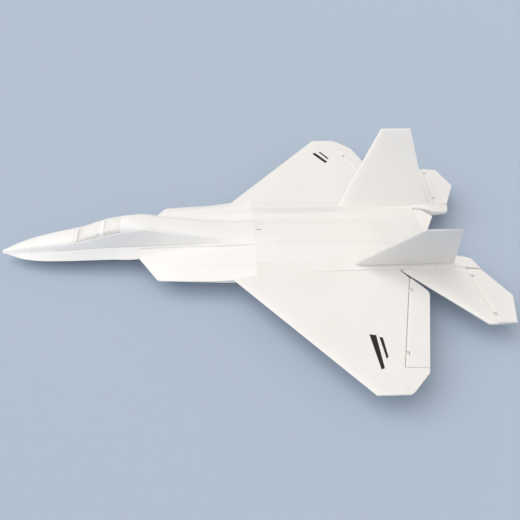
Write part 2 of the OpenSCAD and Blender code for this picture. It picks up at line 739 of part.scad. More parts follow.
// One end of a moving surface: from its rear point to its rounded nose
function moving_pts(h, p, rear, side) = let(
    e = unit(p - rear),
    d = unit(h[1] - h[0]),
    k = abs(e[0] * d[1] - e[1] * d[0])
  ) concat(
    [[rear[0], rear[1], wing_z + side * te_t / 2]],
    [[mix(rear[0], p[0], 0.5), mix(rear[1], p[1], 0.5), wing_z + side * mix(te_t, hinge_t, 0.5) / 2]],
    [for (a = [90, 62, 38, 14])
      [p[0] + e[0] * nose_r * cos(a) / k, p[1] + e[1] * nose_r * cos(a) / k, wing_z + side * nose_r * sin(a)]]
  );

module moving_surface(h, ends, spot) {
  difference() {
    slab([for (r = ends) moving_pts(h, r[0], r[1], 1)], [for (r = ends) moving_pts(h, r[0], r[1], -1)]);
    for (t = hinge_spots)
      on_hinge(h, t) {
        translate([-pin_d / 2 - 2, -barrel_w / 2 - 1, -10]) cube([20, barrel_w + 2, 20]);
        translate([0, -pin_len / 2, 0])
          rotate([-90, 0, 0]) cylinder(d = pin_d + 0.06, h = pin_len, $fn = 24);
      }
    on_hinge(h, spot) translate([-13.1, 0.9, -10]) cube([8.2, horn_t + 0.2, 11.1]);
  }
}

pin_len = 26;
ail_ends = [[ail_in, ail_rear[0]], [along([ail_in, ail_out], 0.09), ail_rear[1]], [ail_out, ail_rear[2]]];
elev_ends = [[elev_in, elev_rear[0]], [along([elev_in, elev_out], 0.5), elev_rear[1]],
             [elev_out, elev_rear[2]]];

module aileron(dir) {
  color("white") on_side(dir) moving_surface([ail_in, ail_out], ail_ends, ail_spot);
}

module elevator(dir) {
  color("white") on_side(dir) moving_surface([elev_in, elev_out], elev_ends, elev_spot);
}

module fin(dir) {
  tip_dx = [xs(842), xs(909)];
  root_x = [xs(751), xs(959)];
  lean = tan(fin_cant);
  prof = [[0, 0.12], [0.02, 0.4], [0.08, 0.7], [0.3, 1], [0.6, 0.85], [1, 0.25]];
  function row(k, side) = let(
      x0 = mix(root_x[0], tip_dx[0], k), x1 = mix(root_x[1], tip_dx[1], k),
      t = mix(fin_root_t, 4, k) / 2, z = k * fin_h)
    [for (p = prof) [mix(x0, x1, p[0]), 98 + z * lean + side * t * p[1] / cos(fin_cant), fin_z + z]];
  color("white")
    on_side(dir)
      slab([for (k = [0, 0.5, 1]) row(k, 1)], [for (k = [0, 0.5, 1]) row(k, -1)], flip = true);
}

module tail_boom(dir) {
  // Each row: station, inner edge, top and bottom at the inner and outer side
  rows = [[tail_s, 89.5, fin_z, 50, keel_z], [937, 89, fin_z, 50, keel_z], [959, 80, fin_z, 50, keel_z],
          [973, 74, fin_z - 2, 50, keel_z], [1003, 78, fin_z - 7, 51, keel_z + 3],
          [1014, 103, fin_z - 10, 51, keel_z + 5]];
  function top(r) = let(e = edge(r[0])) at(xs(r[0]),
    [[r[1], r[2] - 4], [r[1] + 2, r[2] - 0.5], [min(92, e - 5.5), r[2]], [e - 5, r[2]],
     [e, min(shelf_z, r[2])]]);
  function low(r) = let(e = edge(r[0])) at(xs(r[0]),
    [[r[1], r[3] + 1], [r[1] + 2, r[3] - 1], [min(92, e - 5.5), r[4]], [e - 5, r[4]], [e, r[4]]]);
  color("white")
    on_side(dir)
      difference() {
        slab([for (r = rows) top(r)], [for (r = rows) low(r)], flip = false);
        tail_spar(1);
      }
}

// ---- spars, hinges and linkages ----

module wing_spars() {
  color("black")
    for (d = sides)
      difference() {
        wing_spar(d, 0);
        translate([xs(spar_s), 0, wing_z])
          rotate([90, 0, 0]) cylinder(d = spar_d - 2, h = 2 * span, center = true, $fn = 32);
      }
}

module tail_spars() {
  color("black") for (d = sides) tail_spar(d, 0);
}

module hinge_barrels() {
  color("whitesmoke")
    for (d = sides, h = [[ail_in, ail_out], [elev_in, elev_out]], t = hinge_spots)
      on_side(d)
        on_hinge(h, t)
          difference() {
            union() {
              translate([0, -barrel_w / 2, 0])
                rotate([-90, 0, 0]) cylinder(d = pin_d + 2, h = barrel_w, $fn = 32);
              translate([0, -barrel_w / 2, -leaf_t / 2])
                cube([nose_r + hinge_gap + 10, barrel_w, leaf_t]);
            }
            translate([0, -barrel_w, 0])
              rotate([-90, 0, 0]) cylinder(d = pin_d + 2 * run_gap, h = 2 * barrel_w, $fn = 32);
          }
}

module hinge_pins(h) {
  for (t = hinge_spots)
    on_hinge(h, t)
      translate([0, -pin_len / 2 + 0.2, 0])
        rotate([-90, 0, 0]) cylinder(d = pin_d, h = pin_len - 0.4, $fn = 24);
}

module aileron_pins(dir) {
  color("silver") on_side(dir) hinge_pins([ail_in, ail_out]);
}

module elevator_pins(dir) {
  color("silver") on_side(dir) hinge_pins([elev_in, elev_out]);
}

eye_d = rod_d + 2 * run_gap;

// Control horn: a blade under the hinge line with a tang let into the surface
module horn(h, spot) {
  on_hinge(h, spot)
    translate([0, 1 + horn_t, 0])
      rotate([90, 0, 0])
        difference() {
          union() {
            linear_extrude(height = horn_t)
              polygon([[-13, 1], [-13, -nose_r - 0.5], [-2, -horn_h - 1], [2, -horn_h + 1],
                       [-5, -nose_r - 0.5], [-5, 1]]);
            translate([0, -horn_h, 0]) cylinder(r = 2.4, h = horn_t);
          }
          translate([0, -horn_h, -1]) cylinder(d = eye_d + 0.5, h = horn_t + 2, $fn = 24);
        }
}

module aileron_horn(dir) {
  color("whitesmoke") on_side(dir) horn([ail_in, ail_out], ail_spot);
}

module elevator_horn(dir) {
  color("whitesmoke") on_side(dir) horn([elev_in, elev_out], elev_spot);
}

spline_d = 4;

module servo(h, spot, reach) {
  on_hinge(h, spot)
    translate([reach, 0, -servo_drop]) {
      translate([6 - servo_len, -servo_h, -servo_t / 2]) cube([servo_len, servo_h - 1, servo_t]);
      translate([6 - servo_len - 4, -7, -servo_t / 2]) cube([servo_len + 8, 1.6, servo_t]);
      rotate([-90, 0, 0]) {
        translate([0, 0, -2]) cylinder(d = servo_t - 1, h = 2.4);
        cylinder(d = spline_d, h = 3, $fn = 32);
      }
    }
}

module servos() {
  color("dimgray")
    for (d = sides)
      on_side(d) {
        servo([ail_in, ail_out], ail_spot, ail_rod);
        servo([elev_in, elev_out], elev_spot, elev_rod);
      }
}

module servo_arm(h, spot, reach) {
  on_hinge(h, spot)
    translate([reach, 1 + horn_t, -servo_drop])
      rotate([90, 0, 0])
        difference() {
          union() {
            cylinder(r = 3.6, h = horn_t);
            translate([0, -horn_h, 0]) cylinder(r = 2.2, h = horn_t);
            linear_extrude(height = horn_t)
              polygon([[-2.6, -2], [-1.9, -horn_h], [1.9, -horn_h], [2.6, -2]]);
          }
          translate([0, 0, -1]) cylinder(d = spline_d + 2 * run_gap, h = horn_t + 2, $fn = 32);
          translate([0, -horn_h, -1]) cylinder(d = eye_d, h = horn_t + 2, $fn = 24);
        }
}

module aileron_servo_arm(dir) {
  color("whitesmoke") on_side(dir) servo_arm([ail_in, ail_out], ail_spot, ail_rod);
}

module elevator_servo_arm(dir) {
  color("whitesmoke") on_side(dir) servo_arm([elev_in, elev_out], elev_spot, elev_rod);
}

// Wire with both ends bent square through the arm and the horn
module pushrod(h, spot, reach) {
  y = 1 + horn_t + 0.5 + rod_d / 2;
  run = [reach, -servo_drop];
  on_hinge(h, spot)
    translate([0, y, -horn_h]) {
      rotate([0, 90 - atan2(run[1], run[0]), 0]) cylinder(d = rod_d, h = norm(run), $fn = 24);
      for (p = [[0, 0], run])
        translate([p[0], 0, p[1]]) {
          sphere(d = rod_d * 1.2, $fn = 24);
          rotate([90, 0, 0]) cylinder(d = rod_d, h = y - 0.3, $fn = 24);
        }
    }
}

module aileron_pushrod(dir) {
  color("silver") on_side(dir) pushrod([ail_in, ail_out], ail_spot, ail_rod);
}

module elevator_pushrod(dir) {
  color("silver") on_side(dir) pushrod([elev_in, elev_out], elev_spot, elev_rod);
}

// ---- equipment in the forward bay ----

tray_s = 350;
tray_len = battery_len + 16;
strap_t = 1;

module battery_tray() {
  color("burlywood")
    translate([xs(tray_s) - tray_len, -20, skin]) cube([tray_len, 40, 2]);
}

bat_x = xs(tray_s) - 8;
bat_z = skin + 2 + strap_t + 0.1;

module battery() {
  color("navy")
    translate([bat_x - battery_len, -battery_w / 2, bat_z]) cube([battery_len, battery_w, battery_h]);
}

module battery_strap() {
  w = battery_w + 0.2;
  h = battery_h + 0.2;
  color("black")
    translate([bat_x - battery_len / 2 - 10, 0, bat_z - 0.1])
      difference() {
        translate([0, -w / 2 - strap_t, -strap_t]) cube([20, w + 2 * strap_t, h + 2 * strap_t]);
        translate([-1, -w / 2, 0]) cube([22, w, h]);
      }
}

// Plywood deck across the keel, for the receiver and the speed controller
deck_low = 18.2;

module equipment_deck() {
  color("burlywood")
    translate([xs(306), -10, deck_low]) cube([120, 20, 2]);
}

module speed_controller() {
  color("firebrick")
    translate([xs(240) - 56, -13, deck_low + 2.1]) cube([56, 26, 12]);
}

module receiver() {
  color("black")
    translate([xs(190) - 40, -11, deck_low + 2.1]) cube([40, 22, 13]);
}

nose_cone();
front_fuselage_upper();
front_fuselage_lower();
canopy();
cockpit_base();
rear_fuselage_upper();
rear_fuselage_lower();
centre_former();
intake_trunk(1);  // intake_trunk_left
intake_trunk(-1);  // intake_trunk_right
inlet_duct(1);  // inlet_duct_left
inlet_duct(-1);  // inlet_duct_right
fan_housing();
fan_rotor();
spinner();
rotor_shaft();
motor();
tail_cone();
thrust_tube();
nozzle();
wing(1);  // wing_left
wing(-1);  // wing_right
aileron(1);  // aileron_left
aileron(-1);  // aileron_right
stabilizer(1);  // stabilizer_left
stabilizer(-1);  // stabilizer_right
elevator(1);  // elevator_left
elevator(-1);  // elevator_right
fin(1);  // fin_left
fin(-1);  // fin_right
tail_boom(1);  // tail_boom_left
tail_boom(-1);  // tail_boom_right
wing_spars();
tail_spars();
hinge_barrels();
aileron_pins(1);  // aileron_pins_left
aileron_pins(-1);  // aileron_pins_right
elevator_pins(1);  // elevator_pins_left
elevator_pins(-1);  // elevator_pins_right
aileron_horn(1);  // aileron_horn_left
aileron_horn(-1);  // aileron_horn_right
elevator_horn(1);  // elevator_horn_left
elevator_horn(-1);  // elevator_horn_right
servos();
aileron_servo_arm(1);  // aileron_arm_left
aileron_servo_arm(-1);  // aileron_arm_right
elevator_servo_arm(1);  // elevator_arm_left
elevator_servo_arm(-1);  // elevator_arm_right
aileron_pushrod(1);  // aileron_rod_left
aileron_pushrod(-1);  // aileron_rod_right
elevator_pushrod(1);  // elevator_rod_left
elevator_pushrod(-1);  // elevator_rod_right
battery_tray();
equipment_deck();
battery();
battery_strap();
speed_controller();
receiver();
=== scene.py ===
"""White foam twin-fin jet plane with a ducted fan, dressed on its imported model.

Lengths in the classes are millimetres. A station is the distance aft of the
nose tip, an offset is the distance from the middle towards the left wing, and
a height is above the ground.
"""

from __future__ import annotations

import json
import logging
import math
from dataclasses import dataclass, field
from enum import Enum

import bmesh
import bpy
import numpy as np
from mathutils import Matrix, Vector

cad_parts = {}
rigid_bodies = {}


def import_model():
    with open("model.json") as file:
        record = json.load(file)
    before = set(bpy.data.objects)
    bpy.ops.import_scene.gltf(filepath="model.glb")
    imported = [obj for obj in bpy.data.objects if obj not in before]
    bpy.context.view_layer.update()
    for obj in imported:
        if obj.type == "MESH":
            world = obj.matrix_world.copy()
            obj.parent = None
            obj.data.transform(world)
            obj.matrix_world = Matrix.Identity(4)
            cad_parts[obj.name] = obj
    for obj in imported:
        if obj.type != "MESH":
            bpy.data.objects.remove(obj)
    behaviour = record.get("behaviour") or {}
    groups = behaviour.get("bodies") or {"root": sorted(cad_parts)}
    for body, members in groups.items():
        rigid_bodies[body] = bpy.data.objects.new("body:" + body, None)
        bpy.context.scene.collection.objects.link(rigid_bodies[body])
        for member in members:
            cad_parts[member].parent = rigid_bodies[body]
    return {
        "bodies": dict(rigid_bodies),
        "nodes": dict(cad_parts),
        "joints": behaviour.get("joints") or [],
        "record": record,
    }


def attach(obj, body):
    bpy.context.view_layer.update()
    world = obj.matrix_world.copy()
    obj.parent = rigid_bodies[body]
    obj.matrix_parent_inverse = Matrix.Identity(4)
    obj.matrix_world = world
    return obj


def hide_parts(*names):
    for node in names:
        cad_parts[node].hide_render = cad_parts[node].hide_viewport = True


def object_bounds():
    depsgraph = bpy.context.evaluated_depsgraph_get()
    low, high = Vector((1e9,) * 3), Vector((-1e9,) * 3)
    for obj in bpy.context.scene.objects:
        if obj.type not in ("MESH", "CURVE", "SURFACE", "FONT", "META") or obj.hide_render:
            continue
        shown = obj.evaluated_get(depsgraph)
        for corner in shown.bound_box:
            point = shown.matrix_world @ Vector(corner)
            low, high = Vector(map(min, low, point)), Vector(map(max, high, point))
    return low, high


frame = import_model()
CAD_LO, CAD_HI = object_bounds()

MM = 0.001
NOSE_X = CAD_HI.x / MM
CRISP = math.radians(34.0)
FLIP = np.array([1, -1, 1])
LOG = logging.getLogger("jet")
Piece = bpy.types.Object
Tree = bpy.types.NodeTree
Shader = bpy.types.Node
Socket = bpy.types.NodeSocket
Grid = np.ndarray
Rows = tuple[tuple[float, ...], ...]


class Side(Enum):
    """Which half of the plane a piece is on."""

    LEFT = 1
    RIGHT = -1

    @property
    def word(self) -> str:
        """Lower-case name used in piece names."""
        return self.name.lower()


# ---------------------------------------------------------------- geometry


def hermite(a: Grid, b: Grid, lean_a: Grid, lean_b: Grid, t: Grid | float) -> Grid:
    """Cubic from a to b that leaves and arrives with the given leans."""
    return (
        a * (2 * t**3 - 3 * t**2 + 1)
        + b * (3 * t**2 - 2 * t**3)
        + lean_a * (t**3 - 2 * t**2 + t)
        + lean_b * (t**3 - t**2)
    )


def monotone(keys: Grid, values: Grid, at: Grid) -> Grid:
    """Monotone cubic through rows of values, so nothing overshoots a station.

    Args:
        keys: Rising positions, one for each row.
        values: Array whose first axis matches keys.
        at: Positions to read.

    Returns:
        Array with one row for each position in at.
    """
    shape = (-1,) + (1,) * (values.ndim - 1)
    slope = np.diff(values, axis=0) / np.diff(keys).reshape(shape)
    lean = np.zeros_like(values)
    a, b = slope[:-1], slope[1:]
    with np.errstate(divide="ignore", invalid="ignore"):
        lean[1:-1] = np.where(a * b > 0, 2 * a * b / (a + b), 0)
    lean[0], lean[-1] = slope[0], slope[-1]
    i = np.clip(np.searchsorted(keys, at, "right") - 1, 0, len(keys) - 2)
    gap = keys[i + 1] - keys[i]
    h, t = gap.reshape(shape), ((at - keys[i]) / gap).reshape(shape)
    return hermite(values[i], values[i + 1], lean[i] * h, lean[i + 1] * h, t)


def rounded(points: Grid, corners: list[int], steps: int) -> Grid:
    """Smooth curves through each row's points, kept sharp at the corners.

    Args:
        points: Array of rows, points and coordinates.
        corners: Indices that stay sharp, ends included.
        steps: Intervals drawn between two neighbouring points.

    Returns:
        Array of rows, finer points and coordinates.
    """
    out = []
    for lo, hi in zip(corners[:-1], corners[1:]):
        p = points[:, lo : hi + 1]
        lean = np.empty_like(p)
        lean[:, 0], lean[:, -1] = p[:, 1] - p[:, 0], p[:, -1] - p[:, -2]
        lean[:, 1:-1] = (p[:, 2:] - p[:, :-2]) / 2
        for k in range(hi - lo):
            for j in range(steps):
                out.append(hermite(p[:, k], p[:, k + 1], lean[:, k], lean[:, k + 1], j / steps))
    out.append(points[:, corners[-1]])
    return np.stack(out, axis=1)


def section(s: Grid, points: list[tuple[Grid | float, Grid | float]]) -> Grid:
    """Grid with a row for each station and a column for each offset and height."""
    return np.stack([np.stack([x_of(s), y + 0 * s, z + 0 * s], axis=1) for y, z in points], axis=1)


def half_section(ctrl: Grid, corners: list[int], steps: int) -> Grid:
    """Rounds a half section so that it crosses the middle level."""
    return rounded(np.concatenate([ctrl[:, 1:2] * FLIP, ctrl], axis=1), corners, steps)[:, steps:]


def normals(grid: Grid) -> Grid:
    """Unit normals of a grid of points, from its rows and columns."""
    n = np.cross(np.gradient(grid, axis=0), np.gradient(grid, axis=1))
    return n / np.maximum(np.linalg.norm(n, axis=2, keepdims=True), 1e-9)


def score_column(grid: Grid, col: int, half: float, depth: Grid) -> Grid:
    """Presses a V groove along one column of a grid.

    Args:
        grid: Grid of points in millimetres.
        col: Column that the groove follows.
        half: Half the groove's width.
        depth: Depth at each row, negative to go against the grid's normals.

    Returns:
        Grid with two more columns.
    """
    n = normals(grid)[:, col]
    mid = grid[:, col]
    sides = []
    for other in (col - 1, col + 1):
        d = grid[:, other] - mid
        sides.append(mid + d * (half / np.maximum(np.linalg.norm(d, axis=1, keepdims=True), 1e-6)))
    deep = mid - n * depth.reshape(-1, 1)
    parts = [grid[:, :col], sides[0][:, None], deep[:, None], sides[1][:, None], grid[:, col + 1 :]]
    return np.concatenate(parts, axis=1)


def score_row(grid: Grid, row: int, half: float, depth: float) -> Grid:
    """Presses a V groove along one row of a grid."""
    turned = score_column(grid.transpose(1, 0, 2), row, half, np.full(grid.shape[1], -depth))
    return turned.transpose(1, 0, 2)


def mirrored(grid: Grid) -> Grid:
    """Right half followed by the left half of a grid drawn from the middle out."""
    return np.concatenate([grid[:, :0:-1] * FLIP, grid], axis=1)


def add_mesh(name: str, points: Grid, faces: list[tuple[int, ...]]) -> Piece:
    """Makes a mesh object from millimetre points.

    Args:
        name: Name of the piece.
        points: Array of points in millimetres.
        faces: Indices of each face.

    Returns:
        The new object, linked to the scene.
    """
    mesh = bpy.data.meshes.new(name)
    mesh.from_pydata((points.reshape(-1, 3) * MM).tolist(), [], faces)
    mesh.validate()
    obj = bpy.data.objects.new(name, mesh)
    bpy.context.scene.collection.objects.link(obj)
    return obj


def shell(
    name: str,
    outer: Grid,
    inner: Grid,
    keep: Grid | None = None,
    wrap: bool = False,
) -> Piece:
    """Closes two equal grids of points into one solid, with rims round any hole.

    Args:
        name: Name of the piece.
        outer: Grid of the outside in millimetres.
        inner: Grid of the inside in millimetres.
        keep: Which quads are kept, or None for all.
        wrap: True if each row closes on itself.

    Returns:
        The new object with its normals outwards.
    """
    rows, cols = outer.shape[:2]
    wide = cols if wrap else cols - 1
    base = rows * cols
    quads, seen = [], set()
    for r in range(rows - 1):
        for c in range(wide):
            if keep is not None and not keep[r, c]:
                continue
            d = (c + 1) % cols
            q = (r * cols + c, r * cols + d, (r + 1) * cols + d, (r + 1) * cols + c)
            quads.append(q)
            seen.update(zip(q, q[1:] + q[:1]))
    faces = quads + [tuple(i + base for i in reversed(q)) for q in quads]
    faces += [(v, u, u + base, v + base) for u, v in seen if (v, u) not in seen]
    obj = add_mesh(name, np.concatenate([outer.reshape(-1, 3), inner.reshape(-1, 3)]), faces)
    tidy(obj)
    return obj


def skinned(name: str, grid: Grid, thick: float, keep: Grid | None = None) -> Piece:
    """Shell of even thickness, positive along the grid's normals."""
    return shell(name, grid, grid + normals(grid) * thick, keep)


def ring_faces(rows: int, cols: int, ends_meet: bool = False) -> list[tuple[int, ...]]:
    """Quads of a grid whose rows are rings, with its two ends joined if they meet."""
    return [
        tuple(i % rows * cols + j % cols for i, j in ((r, c), (r, c + 1), (r + 1, c + 1), (r + 1, c)))
        for r in range(rows if ends_meet else rows - 1)
        for c in range(cols)
    ]


def tidy(obj: Piece) -> None:
    """Joins doubled points, drops loose ones, turns normals out and smooths."""
    bm = bmesh.new()
    bm.from_mesh(obj.data)
    bmesh.ops.delete(bm, geom=[v for v in bm.verts if not v.link_faces], context="VERTS")
    bmesh.ops.remove_doubles(bm, verts=bm.verts, dist=2e-5)
    bmesh.ops.recalc_face_normals(bm, faces=bm.faces)
    bm.to_mesh(obj.data)
    bm.free()
    obj.data.shade_smooth()
    obj.data.set_sharp_from_angle(angle=CRISP)


def soften(obj: Piece, width: float) -> None:
    """Rounds an object's sharp edges with a bevel of a width in millimetres."""
    bevel = obj.modifiers.new("rounded_edges", "BEVEL")
    bevel.width, bevel.segments, bevel.harden_normals = width * MM, 2, True
    bevel.limit_method, bevel.angle_limit = "ANGLE", math.radians(40)


def x_of(station: Grid | float) -> Grid | float:
    """Row frame x in millimetres of a station."""
    return NOSE_X - station


# --------------------------------------------------------------- finishes


def linear(hex_value: str) -> tuple[float, float, float, float]:
    """Turns an sRGB hex colour into the linear colour that a shader takes."""
    raw = [int(hex_value[i : i + 2], 16) / 255 for i in (1, 3, 5)]
    r, g, b = ((c / 12.92) if c <= 0.04045 else ((c + 0.055) / 1.055) ** 2.4 for c in raw)
    return r, g, b, 1.0


def node(tree: Tree, kind: str, inputs: dict | None = None, **settings) -> Shader:
    """Adds a node with its settings and links.

    Args:
        tree: Node tree to add to.
        kind: Blender's node type name.
        inputs: Socket name or index to a value or an output socket.
        **settings: Properties of the node.

    Returns:
        The new node.
    """
    made = tree.nodes.new(kind)
    for key, value in settings.items():
        setattr(made, key, value)
    for key, value in (inputs or {}).items():
        if isinstance(value, Socket):
            tree.links.new(value, made.inputs[key])
        else:
            made.inputs[key].default_value = value
    return made


@dataclass(frozen=True)
class Finish:
    """Base of every finish: a named Principled material with a pattern."""

    name: str = "finish"
    colour: str = "#ffffff"
    roughness: float = 0.5
    ior: float = 1.5
    metallic: float = 0.0
    clear: bool = False

    def build(self) -> bpy.types.Material:
        """Makes the material; a metal keeps the IOR that it comes with."""
        mat = bpy.data.materials.new(self.name)
        mat.use_nodes = True
        tree = mat.node_tree
        shader = tree.nodes["Principled BSDF"]
        even = {"Base Color": linear(self.colour), "Roughness": self.roughness, "Metallic": self.metallic}
        if not self.metallic:
            even["IOR"] = self.ior
        for key, value in even.items():
            shader.inputs[key].default_value = value
        if self.clear:
            mat.surface_render_method = "BLENDED"
        self.pattern(tree, shader, node(tree, "ShaderNodeTexCoord").outputs["Object"])
        return mat

    def pattern(self, tree: Tree, shader: Shader, place: Socket) -> None:
        """Adds the finish's own pattern; a plain one has none."""

    def streaks(
        self, tree: Tree, place: Socket, along: tuple[float, ...], pitch: float, detail: float
    ) -> Socket:
        """Noise drawn out along one axis.

        Args:
            tree: Node tree of the material.
            place: Position on the piece.
            along: Share of each axis that the noise keeps.
            pitch: Size of the noise in millimetres.
            detail: Octaves of the noise.

        Returns:
            The noise's value.
        """
        line = node(tree, "ShaderNodeVectorMath", {0: place, 1: along}, operation="MULTIPLY").outputs[0]
        size = {"Vector": line, "Scale": 1 / (pitch * MM), "Detail": detail}
        return node(tree, "ShaderNodeTexNoise", size).outputs["Fac"]

    def two_tone(self, tree: Tree, shader: Shader, factor: Socket, second: str) -> None:
        """Mixes the finish's colour with a second one by a pattern."""
        tones = {"Factor": factor, "A": linear(self.colour), "B": linear(second)}
        mix = node(tree, "ShaderNodeMix", tones, data_type="RGBA")
        tree.links.new(mix.outputs["Result"], shader.inputs["Base Color"])

    def relief(
        self,
        tree: Tree,
        shader: Shader,
        height: Socket,
        strength: float,
        depth: float,
        tone: Socket | None = None,
        sway: tuple[float, float] = (0.0, 0.0),
    ) -> None:
        """Raises the surface by one pattern and sways its roughness by another.

        Args:
            tree: Node tree of the material.
            shader: Its Principled shader.
            height: Pattern that raises the surface.
            strength: Strength of the relief.
            depth: Depth of the relief in millimetres.
            tone: Pattern that sways the roughness, if any.
            sway: Change of the roughness at the pattern's low and high ends.
        """
        bump = node(tree, "ShaderNodeBump", {"Height": height, "Strength": strength, "Distance": depth * MM})
        tree.links.new(bump.outputs["Normal"], shader.inputs["Normal"])
        if tone:
            ends = {"To Min": self.roughness + sway[0], "To Max": self.roughness + sway[1]}
            rough = node(tree, "ShaderNodeMapRange", {"Value": tone, **ends})
            tree.links.new(rough.outputs["Result"], shader.inputs["Roughness"])


@dataclass(frozen=True)
class MouldedFoam(Finish):
    """Moulded EPO bead foam: white beads fused with a skinned satin face.

    The beads are 3 mm across. They show as a faint cell pattern in both the
    colour and the surface, over a slow mottle, about 110 mm across, where the
    mould was cooler.
    """

    name: str = "moulded_epo_foam"
    colour: str = "#ebe9e6"
    shade: str = "#e5e2de"
    roughness: float = 0.46
    ior: float = 1.45
    bead: float = 3.2
    strength: float = 0.06
    mottle: float = 9.0

    def pattern(self, tree: Tree, shader: Shader, place: Socket) -> None:
        """Makes the bead pattern, the mottle and the relief."""
        size = {"Vector": place, "Scale": 1 / (self.bead * MM)}
        beads = node(tree, "ShaderNodeTexVoronoi", size, feature="DISTANCE_TO_EDGE").outputs["Distance"]
        size = {"Value": beads, "From Min": 0.0, "From Max": 0.12}
        seam = node(tree, "ShaderNodeMapRange", size).outputs["Result"]
        size = {"Vector": place, "Scale": self.mottle, "Detail": 3.0}
        mottle = node(tree, "ShaderNodeTexNoise", size).outputs["Fac"]
        ends = {"From Min": 0.35, "From Max": 0.7, "To Min": 0.0, "To Max": 0.55}
        blend = node(tree, "ShaderNodeMapRange", {"Value": mottle, **ends}).outputs["Result"]
        faint = node(tree, "ShaderNodeMath", {0: seam, 1: 0.18}, operation="MULTIPLY").outputs[0]
        total = node(tree, "ShaderNodeMath", {0: blend, 1: faint}, operation="SUBTRACT").outputs[0]
        self.two_tone(tree, shader, total, self.shade)
        self.relief(tree, shader, seam, self.strength, 0.2, mottle, (-0.05, 0.08))


@dataclass(frozen=True)
class FormedSheet(Finish):
    """Clear PET sheet, vacuum formed: hardly any colour, a slightly wavy gloss.

    Seen square on it is nearly clear, and it whitens where it turns away, a painted reflection. The drawn
    sheet waves about every 36 mm.
    """

    name: str = "vacuum_formed_pet"
    colour: str = "#fdfcfa"
    roughness: float = 0.07
    ior: float = 1.57
    clear: bool = True
    cover: float = 0.34
    rim: float = 0.8
    waves: float = 28.0

    def pattern(self, tree: Tree, shader: Shader, place: Socket) -> None:
        """Makes the soft wave of the drawn sheet and its cover."""
        size = {"Vector": place, "Scale": self.waves, "Detail": 1.0}
        wave = node(tree, "ShaderNodeTexNoise", size).outputs["Fac"]
        self.relief(tree, shader, wave, 0.12, 0.4, wave, (0.0, 0.06))
        # Painted reflection: the cover rises towards the rim at grazing angles, so the white base shows there
        # in place of the sheet's reflection.
        facing = node(tree, "ShaderNodeLayerWeight", {"Blend": 0.35}).outputs["Facing"]
        ends = {"From Min": 0.15, "To Min": self.cover, "To Max": self.rim}
        cover = node(tree, "ShaderNodeMapRange", {"Value": facing, **ends})
        tree.links.new(cover.outputs["Result"], shader.inputs["Alpha"])


@dataclass(frozen=True)
class MouldedPlastic(Finish):
    """Injection moulded plastic: fine spark-eroded grain under a satin face.

    The grain is 0.5 mm, coarser than life so that it shows.
    """

    grain: float = 0.5
    depth: float = 0.08

    def pattern(self, tree: Tree, shader: Shader, place: Socket) -> None:
        """Makes the grain."""
        size = {"Vector": place, "Scale": 1 / (self.grain * MM), "Detail": 2.0}
        grain = node(tree, "ShaderNodeTexNoise", size).outputs["Fac"]
        self.relief(tree, shader, grain, self.depth, 0.1, grain, (-0.06, 0.06))


@dataclass(frozen=True)
class TurnedMetal(Finish):
    """Turned or drawn metal: fine lines that stretch the highlight.

    The tool lines are 0.6 mm apart, coarser than life so that they show.
    """

    colour: str = "#c9cbcf"
    roughness: float = 0.32
    metallic: float = 1.0
    pitch: float = 0.6
    along: tuple[float, float, float] = (1.0, 0.02, 0.02)

    def pattern(self, tree: Tree, shader: Shader, place: Socket) -> None:
        """Makes the tool lines."""
        lines = self.streaks(tree, place, self.along, self.pitch, 2.0)
        self.relief(tree, shader, lines, 0.1, 0.05, lines, (-0.1, 0.14))


@dataclass(frozen=True)
class PatternedSheet(Finish):
    """Wood veneer, carbon rod or woven webbing: two tones in long streaks.

    The streaks are as wide as the real fibres, or coarser so that they show.
    """

    second: str = "#000000"
    width: float = 1.0
    stretch: tuple[float, float, float] = (0.06, 1.0, 1.0)

    def pattern(self, tree: Tree, shader: Shader, place: Socket) -> None:
        """Makes the streaks."""
        streak = self.streaks(tree, place, self.stretch, self.width, 4.0)
        tone = node(tree, "ShaderNodeMapRange", {"Value": streak, "From Min": 0.35, "From Max": 0.65})
        self.two_tone(tree, shader, tone.outputs["Result"], self.second)
        self.relief(tree, shader, streak, 0.15, 0.1)


@dataclass
class Paintshop:
    """Every finish on the plane, made once and handed out by name."""

    made: dict[str, bpy.types.Material] = field(default_factory=dict)

    def dress(self, obj: Piece, finish: Finish) -> None:
        """Gives an object one finish, made on first use."""
        if finish.name not in self.made:
            self.made[finish.name] = finish.build()
        obj.data.materials.clear()
        obj.data.materials.append(self.made[finish.name])

    def fit(self, obj: Piece, finish: Finish, body: str, slot: str, *nodes: str) -> Piece:
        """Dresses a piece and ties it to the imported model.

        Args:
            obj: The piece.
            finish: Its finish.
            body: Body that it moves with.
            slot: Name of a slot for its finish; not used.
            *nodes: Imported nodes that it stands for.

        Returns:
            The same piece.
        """
        self.dress(obj, finish)
        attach(obj, body)
        if nodes:
            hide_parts(*nodes)
        return obj


# Wings, tail and rear body: moulded bead foam, a warm off-white with a faint cell.
FOAM = MouldedFoam()
# Forward body, trunks and canopy frames: the same foam, its colour made brighter than the wings' as painted
# light for the stronger light on the body, and smoother.
LIT_BODY_FOAM = MouldedFoam("white_coated_epo_foam", "#f1f0ee", 0.4, shade="#eceae7", strength=0.04)
# Cockpit block: finer bead foam, the whitest piece, whitened as painted light so that it shows bright through
# the sheet in spite of the shade under it.
COCKPIT_FOAM_WHITENED = MouldedFoam("cockpit_foam", "#f6f5f2", shade="#eceae6", bead=2.4)
# Canopy: clear sheet, drawn over a former, so its gloss is a little wavy.
CLEAR = FormedSheet()
# Wing marks: cut vinyl film, flat black with a low sheen.
FILM = MouldedPlastic("cut_black_film", "#060606", 0.5, 1.52, grain=1.2, depth=0.03)
# Ducts and thrust tube: thin formed sheet, pale grey with a satin face.
DUCT = MouldedPlastic("formed_duct_sheet", "#d9dadb", 0.38, 1.53)
